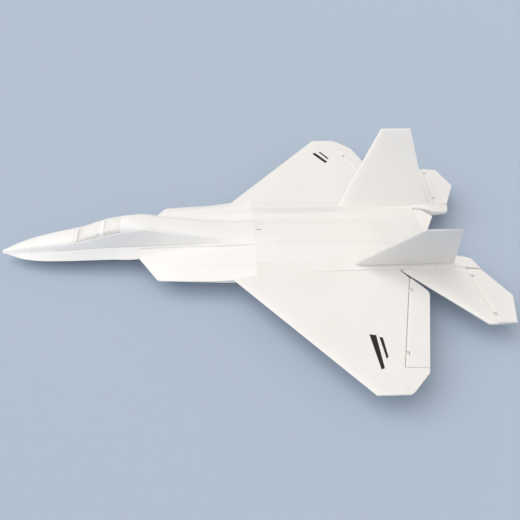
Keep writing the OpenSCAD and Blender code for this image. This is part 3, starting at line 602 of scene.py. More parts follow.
# Nozzle: moulded plastic near the foam's white, but smoother.
NOZZLE = MouldedPlastic("moulded_nozzle_plastic", "#ebe9e6", 0.42, 1.49)
# Fan and cones: glass-filled nylon, a dull near-black.
BLACK_NYLON = MouldedPlastic("glass_filled_nylon", "#17181a", 0.48, 1.53)
# Horns, arms and hinges: natural nylon, a creamy white with a soft shine.
WHITE_NYLON = MouldedPlastic("moulded_white_nylon", "#e9e7e0", 0.4, 1.53)
# Servo and receiver cases: dark blue-grey ABS with a clear shine.
CASE = MouldedPlastic("servo_case_plastic", "#24303f", 0.3, 1.54)
# Battery: shrunk PVC film, deep blue and glossy, with soft wrinkles.
WRAP = MouldedPlastic("battery_shrink_wrap", "#123a75", 0.22, 1.5, grain=2.0, depth=0.15)
# Speed controller: heat-shrunk sleeve, red and glossy, with soft wrinkles.
SLEEVE = MouldedPlastic("heat_shrink_sleeve", "#9c1c1a", 0.28, 1.5, grain=2.0, depth=0.15)
# Motor: turned aluminium, bright with fine rings.
ALLOY = TurnedMetal("turned_aluminium")
# Rods, pins and shaft: drawn steel wire, greyer, with lines along it.
STEEL = TurnedMetal("drawn_steel_wire", "#b9babc", 0.26)
# Former, tray and deck: sanded birch plywood, warm with darker streaks.
PLY = PatternedSheet("sanded_birch_plywood", "#c9a06b", 0.6, second="#b0854f", width=1.4)
# Spars: pultruded carbon, black with faint lengthwise fibres.
CARBON = PatternedSheet(
    "pultruded_carbon", "#15161a", 0.34, second="#2a2c31", width=0.8, stretch=(1, 0.05, 1)
)
# Strap: woven nylon webbing, matt black with a coarse rib.
WEBBING = PatternedSheet(
    "woven_nylon_webbing", "#101113", 0.85, second="#232428", width=1.2, stretch=(1, 1, 0.3)
)


# ----------------------------------------------------------- the airframe


@dataclass
class Airframe:
    """Lines that the fuselage, wings and tail share."""

    wing_z: float = 54.0
    shelf_z: float = 62.0
    keel_z: float = 46.0
    deck_z: float = 79.0
    split: float = 550.0
    tail: float = 922.0
    edge_keys: tuple[float, ...] = (350, 502, 635, 748, 1014)
    edge_vals: tuple[float, ...] = (119, 127, 117, 112, 108)

    def edge(self, s: Grid | float) -> Grid | float:
        """Half width of the body along the wing and tail roots."""
        return np.interp(s, self.edge_keys, self.edge_vals)


@dataclass
class ForwardBody:
    """Nose cone and the two forward shells, with the opening for the hatch.

    Each row holds a station, the top, the sill's half width and height, the
    crease's, the edge's, and the belly's height.
    """

    air: Airframe
    shop: Paintshop
    rows: Rows = (
        (0, 31, 3, 30, 4, 29, 5.5, 27, 24.5),
        (10, 35, 5.5, 32.5, 7, 30, 8.5, 27.5, 23),
        (24, 41, 9.5, 37, 12, 33, 15.5, 28, 20),
        (52, 52, 15, 46, 18, 39, 28.5, 29.5, 15),
        (106, 67, 22, 58, 26, 48, 40, 33, 9),
        (165, 80, 27, 68, 30, 55, 44, 36.5, 7),
        (220, 101, 27, 81.5, 31, 60, 46, 39.5, 6.5),
        (250, 110, 27, 88.8, 31, 61, 47, 41, 6),
        (283, 115, 27, 96.9, 31, 62, 50, 42.5, 5),
        (312, 113, 27, 104, 31, 63, 50, 44.5, 3),
        (350, 107, 27, 97, 31, 64, 44, 47, 0),
        (395, 100, 28, 90, 32, 66, 44, 50, 0),
        (440, 92, 29, 85, 34, 69, 44, 52, 0),
        (502, 83, 30, 79, 37, 73, 44, 54, 0),
        (550, 79, 30, 76, 37, 74.5, 44, 54, 0),
    )
    hatch: tuple[float, float] = (165.0, 312.0)
    nose: float = 106.0
    ring: float = 70.0
    joint: float = 305.0
    skin: float = 5.0
    step: float = 4.0
    steps: int = 7

    def stations(self, lo: float, hi: float, extra: tuple[float, ...] = ()) -> Grid:
        """Evenly spaced stations between two, with a few exact ones added."""
        even = np.linspace(lo, hi, int((hi - lo) / self.step) + 1)
        return np.unique(np.round(np.concatenate([even, np.array(extra, float)]), 3))

    def wall(self, s: Grid) -> Grid:
        """Height where the trunk's top meets the body's side."""
        return np.interp(s, [312, 350, 395, 550], [46, 57, 60, 73])

    def read(self, s: Grid) -> Grid:
        """Columns of the row table, read at stations."""
        table = np.array(self.rows, float)
        return monotone(table[:, 0], table[:, 1:], s).T

    def upper(self, s: Grid) -> Grid:
        """Contour of the upper body.

        Args:
            s: Stations.

        Returns:
            Half grid, from the middle out: top, sill, crease and edge.
        """
        top, sy, sz, cy, cz, ey, ez, _ = self.read(s)
        ahead = s < self.hatch[1]
        wall = np.maximum(self.wall(s), ez + 0.6)
        flare = np.where(ahead, ez + (cz - ez) * 0.5, (cz + wall) / 2)
        wall = np.where(ahead, ez + 0.6, wall)
        points = [
            (0, top),
            (sy * 0.5, top - (top - sz) * 0.13),
            (sy * 0.84, top - (top - sz) * 0.52),
            (sy, sz),
            (cy, cz),
            ((cy + ey) / 2, flare),
            (ey, wall),
            (ey, ez),
        ]
        return half_section(section(s, points), [0, 4, 5, 7, 8], self.steps)

    def lower(self, s: Grid) -> Grid:
        """Contour of the lower body, which is a keel that turns into a box.

        Args:
            s: Stations.

        Returns:
            Half grid from the middle out.
        """
        ey, ez, zb = self.read(s)[5:]
        box = np.clip((s - self.hatch[1]) / 38, 0, 1)
        flat = np.maximum(ey - (ez - zb) / 0.84, 2)
        keel = [(0.0, 0.0), (0.6, 0.0), (1.0, 0.01), (0.33, 0.31), (0.66, 0.64), (0.85, 0.84), (1.0, 1.0)]
        aft = [(0.0, 0.0), (20.0, 0.0), (38.0, 0.0), (44.0, 0.1), (44.0, 0.38), (44.0, 0.75), (44.0, 1.0)]
        points = []
        for k, ((f, h), (y, g)) in enumerate(zip(keel, aft)):
            side = flat * f if k < 3 else flat + (ey - flat) * f
            points.append((side + (y - side) * box, zb + (ez - zb) * (h + (g - h) * box)))
        return rounded(section(s, points), [0, 2, 6], self.steps)

    def nose_cone(self) -> Piece:
        """Solid foam nose, rounded at its tip, scored where it is glued on."""
        s = self.stations(0, self.nose, (2.0, 5.0, self.ring))
        at = int(np.searchsorted(s, self.ring))
        top = score_row(mirrored(self.upper(s)), at, 0.6, 0.35)
        low = score_row(mirrored(self.lower(s)), at, 0.6, -0.35)
        grid = np.concatenate([top, low[:, ::-1]], axis=1)
        rows, cols = grid.shape[:2]
        faces = ring_faces(rows, cols)
        for r in (0, rows - 1):
            for c in range(min(top.shape[1], low.shape[1]) - 1):
                i, j = r * cols + c, r * cols + cols - 1 - c
                faces.append((i, i + 1, j - 1, j))
        obj = add_mesh("nose_cone_foam", grid, faces)
        tidy(obj)
        return obj

    def build(self) -> list[Piece]:
        """Makes the nose cone and both shells."""
        steps = self.steps
        nose = self.nose_cone()
        s = self.stations(self.nose, self.air.split, (*self.hatch, self.joint - 0.1, self.joint + 0.1))
        half = self.upper(s)
        sill, crease = 3 * steps, 4 * steps
        skirt = half[:, crease:].copy()
        drop = np.linspace(0, 1, skirt.shape[1])[None, :, None] * np.array([0, 0.3, -9.0])
        half[:, crease:] = np.where((s > self.joint)[:, None, None], skirt[:, :1] + drop, skirt)
        depth = np.interp(s, [90, 130, 400, 440], [0, 1.5, 1.5, 0.3])
        grid = mirrored(score_column(half, crease, 0.9, -depth))
        cols = grid.shape[1]
        mid = cols // 2
        keep = np.ones((len(s) - 1, cols - 1), bool)
        inside = (s[:-1] >= self.hatch[0]) & (s[:-1] < self.hatch[1])
        keep[np.ix_(inside, np.arange(mid - sill, mid + sill))] = False
        top = skinned("forward_upper_foam", grid, self.skin, keep)
        low = skinned("forward_lower_foam", mirrored(self.lower(s)), -self.skin)
        pieces = {"nose_cone": nose, "front_fuselage_upper": top, "front_fuselage_lower": low}
        return [self.shop.fit(obj, LIT_BODY_FOAM, "airframe", "foam", name) for name, obj in pieces.items()]


@dataclass
class Cockpit:
    """The canopy over its hatch: clear sheet, its frames and what is inside."""

    body: ForwardBody
    shop: Paintshop
    sheet: float = 1.2
    bow: float = 228.0
    rear: tuple[float, float] = (268.0, 311.85)
    front: float = 165.6

    def glass(self) -> Piece:
        """The formed sheet, with raised frame lines where it is bent."""
        s = self.body.stations(self.front, self.rear[1], (self.bow - 3, self.bow + 3, self.rear[0]))
        half = self.body.upper(s)[:, : 3 * self.body.steps + 1]
        return skinned("canopy_sheet", mirrored(half + self.lift(s, half)), self.sheet)

    def lift(self, s: Grid, half: Grid) -> Grid:
        """How far each point of the sheet stands proud, as offsets."""
        n = -normals(mirrored(half))[:, half.shape[1] - 1 :]
        bow = np.clip(1 - np.abs(s - self.bow) / 5, 0, 1) ** 2 * 0.9
        frame = np.clip(1 - np.abs(s - self.front) / 9, 0, 1) * 0.5
        return n * (bow + frame)[:, None, None]

    def strip(self, name: str, lo: float, hi: float, columns: slice, proud: float) -> Piece:
        """A band of foam laid on the sheet between two stations.

        Args:
            name: Name of the piece.
            lo: First station.
            hi: Last station.
            columns: Part of the half contour that it covers.
            proud: How far its outside stands off the sheet.

        Returns:
            The new object, both halves in one.
        """
        s = np.linspace(lo, hi, max(4, int((hi - lo) / 2.5)))
        half = self.body.upper(s)[:, : 3 * self.body.steps + 1]
        out = -normals(mirrored(half))[:, half.shape[1] - 1 :]
        edge = np.sin(np.linspace(0, math.pi, len(s))) ** 0.35
        outer = (half + out * (proud * edge)[:, None, None])[:, columns]
        inner = (half - out * (self.sheet + 0.5))[:, columns]
        if columns.start == 0:
            return shell(name, mirrored(outer), mirrored(inner))
        left = shell(name, outer, inner)
        right = shell(name + "_right", outer * FLIP, inner * FLIP)
        return joined(left, right)

    def tub(self) -> Piece:
        """The moulded tub: a floor at sill height with side walls and a seat."""
        s = np.linspace(self.front + 0.4, self.rear[1] - 0.4, 60)
        steps = self.body.steps
        half = self.body.upper(s)
        sill = half[:, 3 * steps]
        t = np.clip((s - 170) / 130, 0, 1)
        top = half[:, 0, 2]
        floor = sill[:, 2] + (top - sill[:, 2]) * 0.66 * np.sin(math.pi * t) ** 0.35
        seat = 0.12 * np.exp(-(((s - 238) / 9) ** 2)) + 0.1 * np.exp(-(((s - 205) / 7) ** 2))
        seat = (top - sill[:, 2]) * seat
        y1 = sill[:, 1] - self.sheet - 0.9
        marks = ((0, 1), (0.35, 0.97), (0.52, 0.4), (0.62, 0.0), (0.82, 0.0), (0.9, 0.0), (1.0, 0.0))
        rise = [(y1 * f, sill[:, 2] - 0.6 if f > 0.85 else floor + seat * h) for f, h in marks]
        under = [(y1 * f, sill[:, 2] - 14) for f, _ in marks]
        top, low = (mirrored(rounded(section(s, points), [0, 5, 6], 4)) for points in (rise, under))
        return shell("cockpit_tub", top, low)

    def build(self) -> list[Piece]:
        """Makes the canopy and the cockpit."""
        sill = 3 * self.body.steps
        made = [
            self.shop.fit(self.glass(), CLEAR, "canopy", "clear_canopy", "canopy"),
            self.shop.fit(self.tub(), COCKPIT_FOAM_WHITENED, "canopy", "foam", "cockpit_base"),
        ]
        whole = slice(0, sill + 1)
        bands = (
            ("canopy_rear_fairing", *self.rear, whole, 0.15),
            ("canopy_bow_frame", self.bow - 4, self.bow + 4, whole, 0.45),
            ("canopy_front_frame", self.front, self.front + 7, whole, 0.35),
            ("canopy_sill_rails", self.front, self.rear[1], slice(sill - 3, sill + 1), 0.35),
        )
        for band in bands:
            made.append(self.shop.fit(self.strip(*band), LIT_BODY_FOAM, "canopy", "foam"))
        return made


def joined(first: Piece, *rest: Piece) -> Piece:
    """Joins mesh objects into the first one."""
    bm = bmesh.new()
    for obj in (first, *rest):
        bm.from_mesh(obj.data)
    bm.to_mesh(first.data)
    bm.free()
    for obj in rest:
        bpy.data.meshes.remove(obj.data)
    first.data.shade_smooth()
    first.data.set_sharp_from_angle(angle=CRISP)
    return first


@dataclass
class RearBody:
    """Flat rear deck, the box below it and the slope down to the nozzle.

    Each row holds a station and the deck's drop at the offsets in across. A
    swell is an offset, a width and a height.
    """

    air: Airframe
    shop: Paintshop
    rows: Rows = (
        (550, 0, 0.5, 3, 6, 7, 10),
        (600, 0, 0, 0, 1, 3, 8),
        (635, 0, 0, 0, 1, 3, 8),
        (690, 0, 0, 0, 0.5, 2, 8),
        (748, 0, 0, 0, 0.5, 2, 8),
        (800, 0, 0, 0, 0.5, 2, 8),
        (850, 4, 4, 4, 4.5, 5, 9),
        (890, 8.6, 8.6, 8.8, 9.2, 10, 12),
        (922, 14.4, 14.4, 14.6, 14.8, 15, 15.4),
    )
    across: tuple[float, ...] = (0, 15, 30, 44, 62, 80)
    skin: float = 5.0
    steps: int = 6
    slot: tuple[float, float] = (554.0, 566.0)
    swells: Rows = ((12, 8, 0.9), (34, 6, -1.1), (55, 7, 1.3), (74, 5, -0.8))

    def top(self, s: Grid) -> Grid:
        """Half grid of the deck, middle first, down to the wing's line."""
        table = np.array(self.rows, float)
        drops, edge = monotone(table[:, 0], table[:, 1:], s).T, self.air.edge(s)
        points = [(y, self.air.deck_z - drop) for y, drop in zip(self.across, drops)]
        points += [(92, 65.0), (edge * 0.6 + 41, 63.2), (edge, self.air.shelf_z), (edge, self.air.wing_z)]
        return half_section(section(s, points), [0, 6, 7, 9, 10], self.steps)

    def low(self, s: Grid) -> Grid:
        """Half grid of the box below the wing, middle first."""
        rise, edge, keel = np.interp(s, [740, 850, 922], [0, 7, 16]), self.air.edge(s), self.air.keel_z
        points = [(y, z + rise * (1 - z / keel)) for y, z in ((0, 0), (40, 0), (78, 0), (90, 8), (98, 26))]
        points += [(edge, keel), (edge, self.air.wing_z)]
        return rounded(section(s, points), [0, 2, 5, 6], self.steps)

    def build(self) -> list[Piece]:
        """Makes the deck with its raised bands and slot, and the box below."""
        s = np.linspace(self.air.split, self.air.tail, 94)
        half = self.top(s)
        y = half[:, :, 1]
        swell = sum(h * np.exp(-(((y - at) / w) ** 2)) for at, w, h in self.swells)
        half[:, :, 2] += swell * np.interp(s, [552, 590, 800, 860], [0, 1, 1, 0])[:, None]
        half = score_column(half, 6 * self.steps, 0.6, np.full(len(s), -0.5))
        top = skinned("rear_upper_foam", mirrored(half), self.skin)
        lo, hi = self.slot
        corners = [(lo, 1.3), (hi, 1.3), (hi, -1.3), (lo, -1.3)]
        carve(top, [np.array([[x_of(a), b, z] for z in (60.0, 90.0) for a, b in corners])], Side.LEFT)
        low = skinned("rear_lower_foam", mirrored(self.low(s)), -self.skin)
        pieces = {"rear_fuselage_upper": top, "rear_fuselage_lower": low}
        return [self.shop.fit(obj, FOAM, "airframe", "foam", name) for name, obj in pieces.items()]


@dataclass
class IntakeTrunk:
    """One side intake: shoulder, swept mouth, rounded lip and the duct inside.

    The rings outside and inside hold an offset and height at the first of
    ends, then at the last. keys are the stations of the drawn rings, and rim
    is the outer edge's height at all but the first.
    """

    air: Airframe
    body: ForwardBody
    shop: Paintshop
    steps: int = 4
    lip: float = 1.2
    seam: tuple[float, float] = (0.7, 0.45)

    ends: tuple[float, float] = (395.0, 550.0)
    keys: tuple[float, ...] = (305.5, 395, 445, 502, 550)
    rim: tuple[float, ...] = (48, 49, 54, 62)
    outside: Rows = (
        (31, 66, 31, 66),
        (37, 63, 37, 63),
        (44, 0, 44, 0),
        (62, 60, 62, 72),
        (76, 59.2, 67, 71.2),
        (92, 58, 92, 65),
        (104, 55.5, 104, 64),
        (0, 0, 0, 0),
        (0, 46, 0, 46),
        (97, 26, 98, 26),
        (81, 11, 90, 8),
        (74, 5, 78, 0),
        (52, 3, 50, 0),
        (44, 9, 44, 5),
        (44, 33, 44, 33),
        (44, 0, 44, 0),
        (37, 59, 37, 59),
        (31, 62, 31, 62),
    )
    inside: Rows = (
        (48, 54, 48, 57),
        (62, 54, 54, 58),
        (76, 53, 60, 58),
        (88, 52, 66, 57),
        (98, 51, 71, 55),
        (110, 49, 75, 52),
        (109, 45, 76, 46),
        (91, 26, 76, 30),
        (77, 13, 74, 14),
        (71, 9, 70, 9),
        (54, 7, 52, 9),
        (48, 11, 48, 12),
        (48, 33, 48, 33),
    )
    mouth_out: Rows = (
        (31, 63), (42, 55), (53, 47), (66, 47.5), (80, 47.5), (92, 47.5), (105, 47.5), (118, 47), (117.5, 44),
        (98, 26), (81, 11), (75, 5), (54, 3), (48, 8), (48.5, 27), (49, 43), (40, 50), (31, 59),
    )
    mouth_in: Rows = (
        (55.5, 44.5), (66, 45), (80, 45), (92, 45), (102, 44.5), (111, 44), (109.5, 41.5),
        (93.5, 26), (77.5, 12.5), (72, 7.5), (56, 6), (50.5, 9.5), (51, 27),
    )

    def ring(self, rows: Rows, s: float) -> Grid:
        """Ring of offsets and heights between its two ends, at a station."""
        table = np.array(rows, float)
        t = (s - self.ends[0]) / (self.ends[1] - self.ends[0])
        return table[:, :2] + (table[:, 2:] - table[:, :2]) * t

    def outer(self, s: float) -> Grid:
        """Outside ring at a station, with its wall and edge put on the body's."""
        ring = self.ring(self.outside, s)
        wall, edge = self.body.wall(s), self.air.edge(s)
        ring[2, 1], ring[15, 1] = wall, wall - 5
        ring[7] = edge, np.interp(s, self.keys[1:], self.rim)
        ring[8, 0] = edge
        return ring

    def spread(self, ring: Grid) -> Grid:
        """Repeats a duct ring's first point so that it matches the outside ring."""
        return np.concatenate([ring[:1], ring[:1], ring, ring[:1], ring[:1], ring[:1]])

    def mouth(self, ring: Grid) -> Grid:
        """Puts a ring of offsets and heights on the swept plane of the mouth."""
        y, z = ring.T
        floor, roof = 345 + (y - 46) * 0.6, 305 + (y - 50) * 0.66
        return np.column_stack([x_of(floor + (roof - floor) * (z - 4) / 42), ring])

    def along(self, front: Grid, rings: list[Grid], fine: Grid) -> Grid:
        """Smooth grid from the mouth's ring through the rings behind it."""
        aft = [np.column_stack([np.full(len(r), x_of(s)), r]) for s, r in zip(self.keys[1:], rings)]
        return monotone(np.array(self.keys, float), np.array([front, *aft]), fine)

    def loop(self) -> Grid:
        """Rows round the trunk's wall, with the seam scored into its side.

        Returns:
            Grid whose rows run forward outside, round the lip and aft inside.
        """
        front = self.mouth(np.array(self.mouth_out, float))
        front[[0, 1, 15, 16, 17], 0] = x_of(self.keys[0])
        fine = np.linspace(self.keys[0], self.keys[-1], 44)
        skin = self.along(front, [self.outer(s) for s in self.keys[1:]], fine)
        crease = self.body.read(fine)[3:5].T
        skin[:, 0, 1:] = crease + [0.1, 0.05]
        skin[:, 17, 1:] = crease - [0, 4.0]
        skin[:, 1, 1:] = (skin[:, 0, 1:] + skin[:, 2, 1:]) / 2
        skin[:, 16, 1:] = (skin[:, 17, 1:] + skin[:, 15, 1:]) / 2
        for col in (0, 1, 16, 17):
            skin[:, col, 0] = x_of(fine)
        front_in = self.mouth(self.spread(np.array(self.mouth_in, float)))
        duct = self.along(front_in, [self.spread(self.ring(self.inside, s)) for s in self.keys[1:]], fine)
        corners = [0, 7, 8, 14, 15, 17]
        skin, duct = rounded(skin, corners, self.steps), rounded(duct, corners, self.steps)
        skin[..., 2] = np.maximum(skin[..., 2], 0.0)
        half, deep = self.seam
        line = np.interp(fine, [405, 412, 544, 549], [0, deep, deep, 0])
        skin = score_column(skin, 4 * self.steps, half, -line)
        duct = score_column(duct, 4 * self.steps, half, 0 * line)
        lips = []
        for a in np.radians([20, 55, 90, 125, 160]):
            k = (1 - math.cos(a)) / 2
            lips.append(skin[0] * (1 - k) + duct[0] * k + np.array([self.lip * math.sin(a), 0, 0]))
        return np.concatenate([skin[::-1], np.array(lips), duct])

    def build(self) -> list[Piece]:
        """Makes both trunks."""
        made = []
        for side in Side:
            grid = self.loop() * [1, side.value, 1]
            faces = ring_faces(*grid.shape[:2], ends_meet=True)
            obj = add_mesh(f"intake_trunk_foam_{side.word}", grid, faces)
            tidy(obj)
            made.append(self.shop.fit(obj, LIT_BODY_FOAM, "airframe", "foam", f"intake_trunk_{side.word}"))
        return made


@dataclass
class Nozzle:
    """Flat two-dimensional exhaust nozzle with a zigzag rear rim."""

    shop: Paintshop
    points: int = 120
    z: float = 43.0
    corner: float = 0.22
    outside: Rows = ((87.5, 21, 922), (87.3, 20.8, 926), (87.2, 20.7, 928), (86.5, 19.5, 0))
    inside: Rows = ((84.5, 18.5, 922), (84.2, 18.3, 926), (84, 18.2, 928), (83.5, 17, 0))

    def ring(self, w: float, h: float, s: float) -> Grid:
        """Superellipse ring; a station of 0 gives the zigzag rim."""
        a = np.linspace(0, 2 * math.pi, self.points, endpoint=False)
        y, z = (k * np.sign(f) * np.abs(f) ** self.corner for k, f in ((w, np.cos(a)), (h, np.sin(a))))
        at = np.full_like(y, s) if s else np.interp(np.abs(y), [0, 57, 88], [931, 962, 937])
        return np.stack([x_of(at), y, self.z + z], axis=1)

    def wall(self, rows: Rows) -> Grid:
        """Grid from the front ring to the rim."""
        rings = [self.ring(*row) for row in rows]
        return np.array(rings[:3] + [rings[2] * (1 - t) + rings[3] * t for t in (0.25, 0.5, 0.75, 1.0)])

    def build(self) -> list[Piece]:
        """Makes the nozzle."""
        obj = shell("exhaust_nozzle", self.wall(self.outside), self.wall(self.inside), wrap=True)
        soften(obj, 0.5)
        return [self.shop.fit(obj, NOZZLE, "airframe", "nozzle_plastic", "nozzle")]


@dataclass(frozen=True)
class HingeLine:
    """A hinge line from its root end to its tip end, as stations and offsets."""

    start: tuple[float, float]
    end: tuple[float, float]
    nose: float = 4.0
    gap: float = 1.0
    z: float = 54.0

    def unit(self) -> Grid:
        """Unit vector along the line in x and y, towards the tip."""
        d = np.array([-(self.end[0] - self.start[0]), self.end[1] - self.start[1]])
        return d / np.linalg.norm(d)

    def along(self, t: float) -> Grid:
        """Point on the line, in x and y."""
        a, b = np.array(self.start), np.array(self.end)
        p = a + (b - a) * t
        return np.array([NOSE_X - p[0], p[1]])

    def station(self, y: Grid | float) -> Grid | float:
        """Station of the line at an offset."""
        t = (y - self.start[1]) / (self.end[1] - self.start[1])
        return self.start[0] + (self.end[0] - self.start[0]) * t

    def front(self, y: Grid | float) -> Grid | float:
        """Station of the fixed panel's rear face."""
        return self.station(y) - (self.nose + self.gap) / abs(self.unit()[1])

    def box(self, t: float, lo: tuple[float, ...], hi: tuple[float, ...]) -> Grid:
        """Corners of a box set on the line: forwards, along it and up."""
        u = self.unit()
        f = np.array([u[1], -u[0]])
        out = []
        for k in (lo[2], hi[2]):
            for i, j in ((lo[0], lo[1]), (hi[0], lo[1]), (hi[0], hi[1]), (lo[0], hi[1])):
                out.append([*(self.along(t) + f * i + u * j), self.z + k])
        return np.array(out)


def carve(obj: Piece, boxes: list[Grid], side: Side) -> None:
    """Cuts boxes out of a solid, for hinges, servos and horns.

    Args:
        obj: Solid to cut.
        boxes: Eight corners of each box on the left side.
        side: Side that the solid is on.
    """
    quads = [(0, 3, 2, 1), (4, 5, 6, 7), (0, 1, 5, 4), (1, 2, 6, 5), (2, 3, 7, 6), (3, 0, 4, 7)]
    turn = [1, side.value, 1]
    cutters = [add_mesh(f"cutter_{k}", corners * turn, quads) for k, corners in enumerate(boxes)]
    for cutter in cutters:
        tidy(cutter)
        cut = obj.modifiers.new("cut", "BOOLEAN")
        cut.operation, cut.solver, cut.object = "DIFFERENCE", "EXACT", cutter
    bpy.context.view_layer.update()
    graph = bpy.context.evaluated_depsgraph_get()
    fresh = bpy.data.meshes.new_from_object(obj.evaluated_get(graph))
    obj.modifiers.clear()
    obj.data = fresh
    for cutter in cutters:
        bpy.data.objects.remove(cutter)
    fresh.set_sharp_from_angle(angle=CRISP)


@dataclass
class FlyingSurface:
    """A wing or tailplane with its moving surface.

    lead is a point of the leading edge and its slope, and halves are the half
    thicknesses at offsets ys. ends follow the moving surface's rear edge from
    root to tip, as a part of the hinge line, a station and an offset. block
    is the rear edge outboard of the surface. spot and reach place the servo.
    """

    kind: str
    moving: str
    hinge: HingeLine
    shop: Paintshop
    air: Airframe
    lead: tuple[float, float, float]
    ys: tuple[float, ...]
    halves: tuple[float, ...]
    tip: tuple[float, float]
    root_rear: float
    ends: Rows
    spot: float
    reach: float
    block: Rows = ()
    rear_half: float = 4.0
    te: float = 2.0
    hinges: tuple[float, float] = (0.14, 0.86)

    def nose_station(self, y: Grid | float) -> Grid | float:
        """Station of the leading edge at an offset."""
        s0, y0, slope = self.lead
        return s0 + (y - y0) * slope

    def half(self, y: Grid | float) -> Grid | float:
        """Half thickness at an offset."""
        return np.interp(y, self.ys, self.halves)

    def profile(self, p: Grid, t: float, h: float) -> Grid:
        """Half height along the chord: rounded nose, then falling to h."""
        nose = np.sqrt(np.clip(1 - (1 - np.clip(p / 0.3, 0, 1)) ** 2, 0, 1))
        q = np.clip((p - 0.3) / 0.7, 0, 1)
        return t * nose * (1 - q * q * (3 - 2 * q)) + h * nose * q * q * (3 - 2 * q)

    def height(self, s: Grid, y: Grid) -> Grid:
        """Height of the upper skin at stations and offsets."""
        a, b, t = self.nose_station(y), self.hinge.front(y), self.half(y)
        return self.hinge.z + self.profile((s - a) / (b - a), t, np.minimum(t, self.rear_half))

    def panel(self, side: Side) -> Piece:
        """The fixed panel with its tip and the block outboard of the surface.

        Args:
            side: Side that it is on.

        Returns:
            The solid, with its servo well and hinge slots cut.
        """
        last_y, end_y = self.tip
        cut_y = self.block[0][0] if self.block else end_y
        body = np.concatenate([np.linspace(self.ys[0], last_y, 40), [b[0] for b in self.block], [cut_y]])
        body = np.unique(body)
        round_y = last_y + (end_y - last_y) * np.sin(np.radians([18, 36, 54, 70, 82, 90]))
        ys = np.concatenate([body[body <= last_y], round_y])
        p = np.append(1 - np.cos(np.linspace(0, math.pi / 2, 18))[:-1], [0.97, 1.0])
        over = np.linspace(0, 1, 7)[1:]
        halves = []
        for y in ys:
            t = float(self.half(min(y, last_y)))
            h = min(t, self.rear_half)
            if self.block and y >= cut_y:
                h = min(t, float(np.interp(y, [cut_y, self.block[1][0]], [self.rear_half, self.halves[-1]])))
            if y > last_y:
                k = (y - last_y) / (end_y - last_y)
                shrink = 0.3 + 0.7 * math.sqrt(max(0.0, 1 - k * k))
                t, h = t * shrink, h * shrink
            a, b = float(self.nose_station(y)), float(self.hinge.front(y))
            z, s, yy = self.profile(p, t, h), a + (b - a) * p, np.full_like(p, y)
            if y == ys[0]:
                s, yy = self.root(p)
            if self.block:
                rear = float(np.interp(y, *zip(*self.block)))
                s = np.concatenate([s, b + (rear - b) * over])
                yy = np.concatenate([yy, np.full(len(over), y)])
                z = np.concatenate([z, h + (min(self.te / 2, h) - h) * over])
            halves.append(np.stack([x_of(s), yy, z], axis=1))
        half = np.array(halves) * [1, side.value, 1]
        top, low = half + [0, 0, self.hinge.z], half * [1, 1, -1] + [0, 0, self.hinge.z]
        keep = np.ones((len(ys) - 1, top.shape[1] - 1), bool)
        if self.block:
            keep[np.ix_(ys[:-1] < cut_y - 1e-6, np.arange(top.shape[1] - 1) >= len(p) - 1)] = False
        obj = shell(f"{self.kind}_foam_{side.word}", top, low, keep)
        carve(obj, self.cuts(), side)
        return obj

    def root(self, p: Grid) -> tuple[Grid, Grid]:
        """Stations and offsets of the root, along the body's edge."""
        s = self.lead[0] + (self.root_rear - self.lead[0]) * p
        return s, self.air.edge(s)

    def cuts(self) -> list[Grid]:
        """Boxes for the servo and its arm, and for the hinge leaves."""
        f = self.hinge
        x0 = self.reach - 23 + 6 - 4.3
        out = [f.box(self.spot, (x0, -22.3, -24), (x0 + 31.6, 6.0, 2.2))]
        for t in self.hinges:
            out.append(f.box(t, (-1, -3.1, -0.6), (f.nose + f.gap + 10.1, 3.1, 0.6)))
        return out

    def surface(self, side: Side) -> Piece:
        """The moving surface: a wedge with a round nose on the hinge line.

        Args:
            side: Side that it is on.

        Returns:
            The solid, with its hinge notches, pin holes and horn slot cut.
        """
        f, z = self.hinge, [0, 0, self.hinge.z]
        t, *rear = np.array(self.ends, float).T
        fine = np.unique(np.concatenate([np.linspace(0, 1, 24), t]))
        d = f.unit()
        half = []
        for k, s, y in zip(fine, *(np.interp(fine, t, r) for r in rear)):
            p, q = f.along(k), np.array([NOSE_X - s, y])
            e = (p - q) / np.linalg.norm(p - q)
            k2 = abs(e[0] * d[1] - e[1] * d[0])
            rise = f.nose - self.te / 2
            pts = [(*(q + (p - q) * m), self.te / 2 + rise * m) for m in (0, 0.12, 0.35, 0.6, 0.82)]
            for a in np.radians([90, 75, 60, 45, 30, 15, 0]):
                pts.append((*(p + e * f.nose * math.cos(a) / k2), f.nose * math.sin(a)))
            half.append(pts)
        half = np.array(half) * [1, side.value, 1]
        obj = shell(f"{self.moving}_foam_{side.word}", half + z, half * [1, 1, -1] + z)
        boxes = [f.box(h, (-2.75, -4, -10), (18, 4, 10)) for h in self.hinges]
        boxes += [f.box(h, (-0.79, -13.1, -0.79), (0.79, 13.1, 0.79)) for h in self.hinges]
        boxes.append(f.box(self.spot, (-13.1, 0.9, -10), (-4.9, 2.7, 1.1)))
        carve(obj, boxes, side)
        return obj

    def build(self) -> list[Piece]:
        """Makes both sides."""
        made = []
        for side in Side:
            fixed, moving = (f"{kind}_{side.word}" for kind in (self.kind, self.moving))
            made.append(self.shop.fit(self.panel(side), FOAM, "airframe", "foam", fixed))
            made.append(self.shop.fit(self.surface(side), FOAM, moving, "foam", moving))
        return made


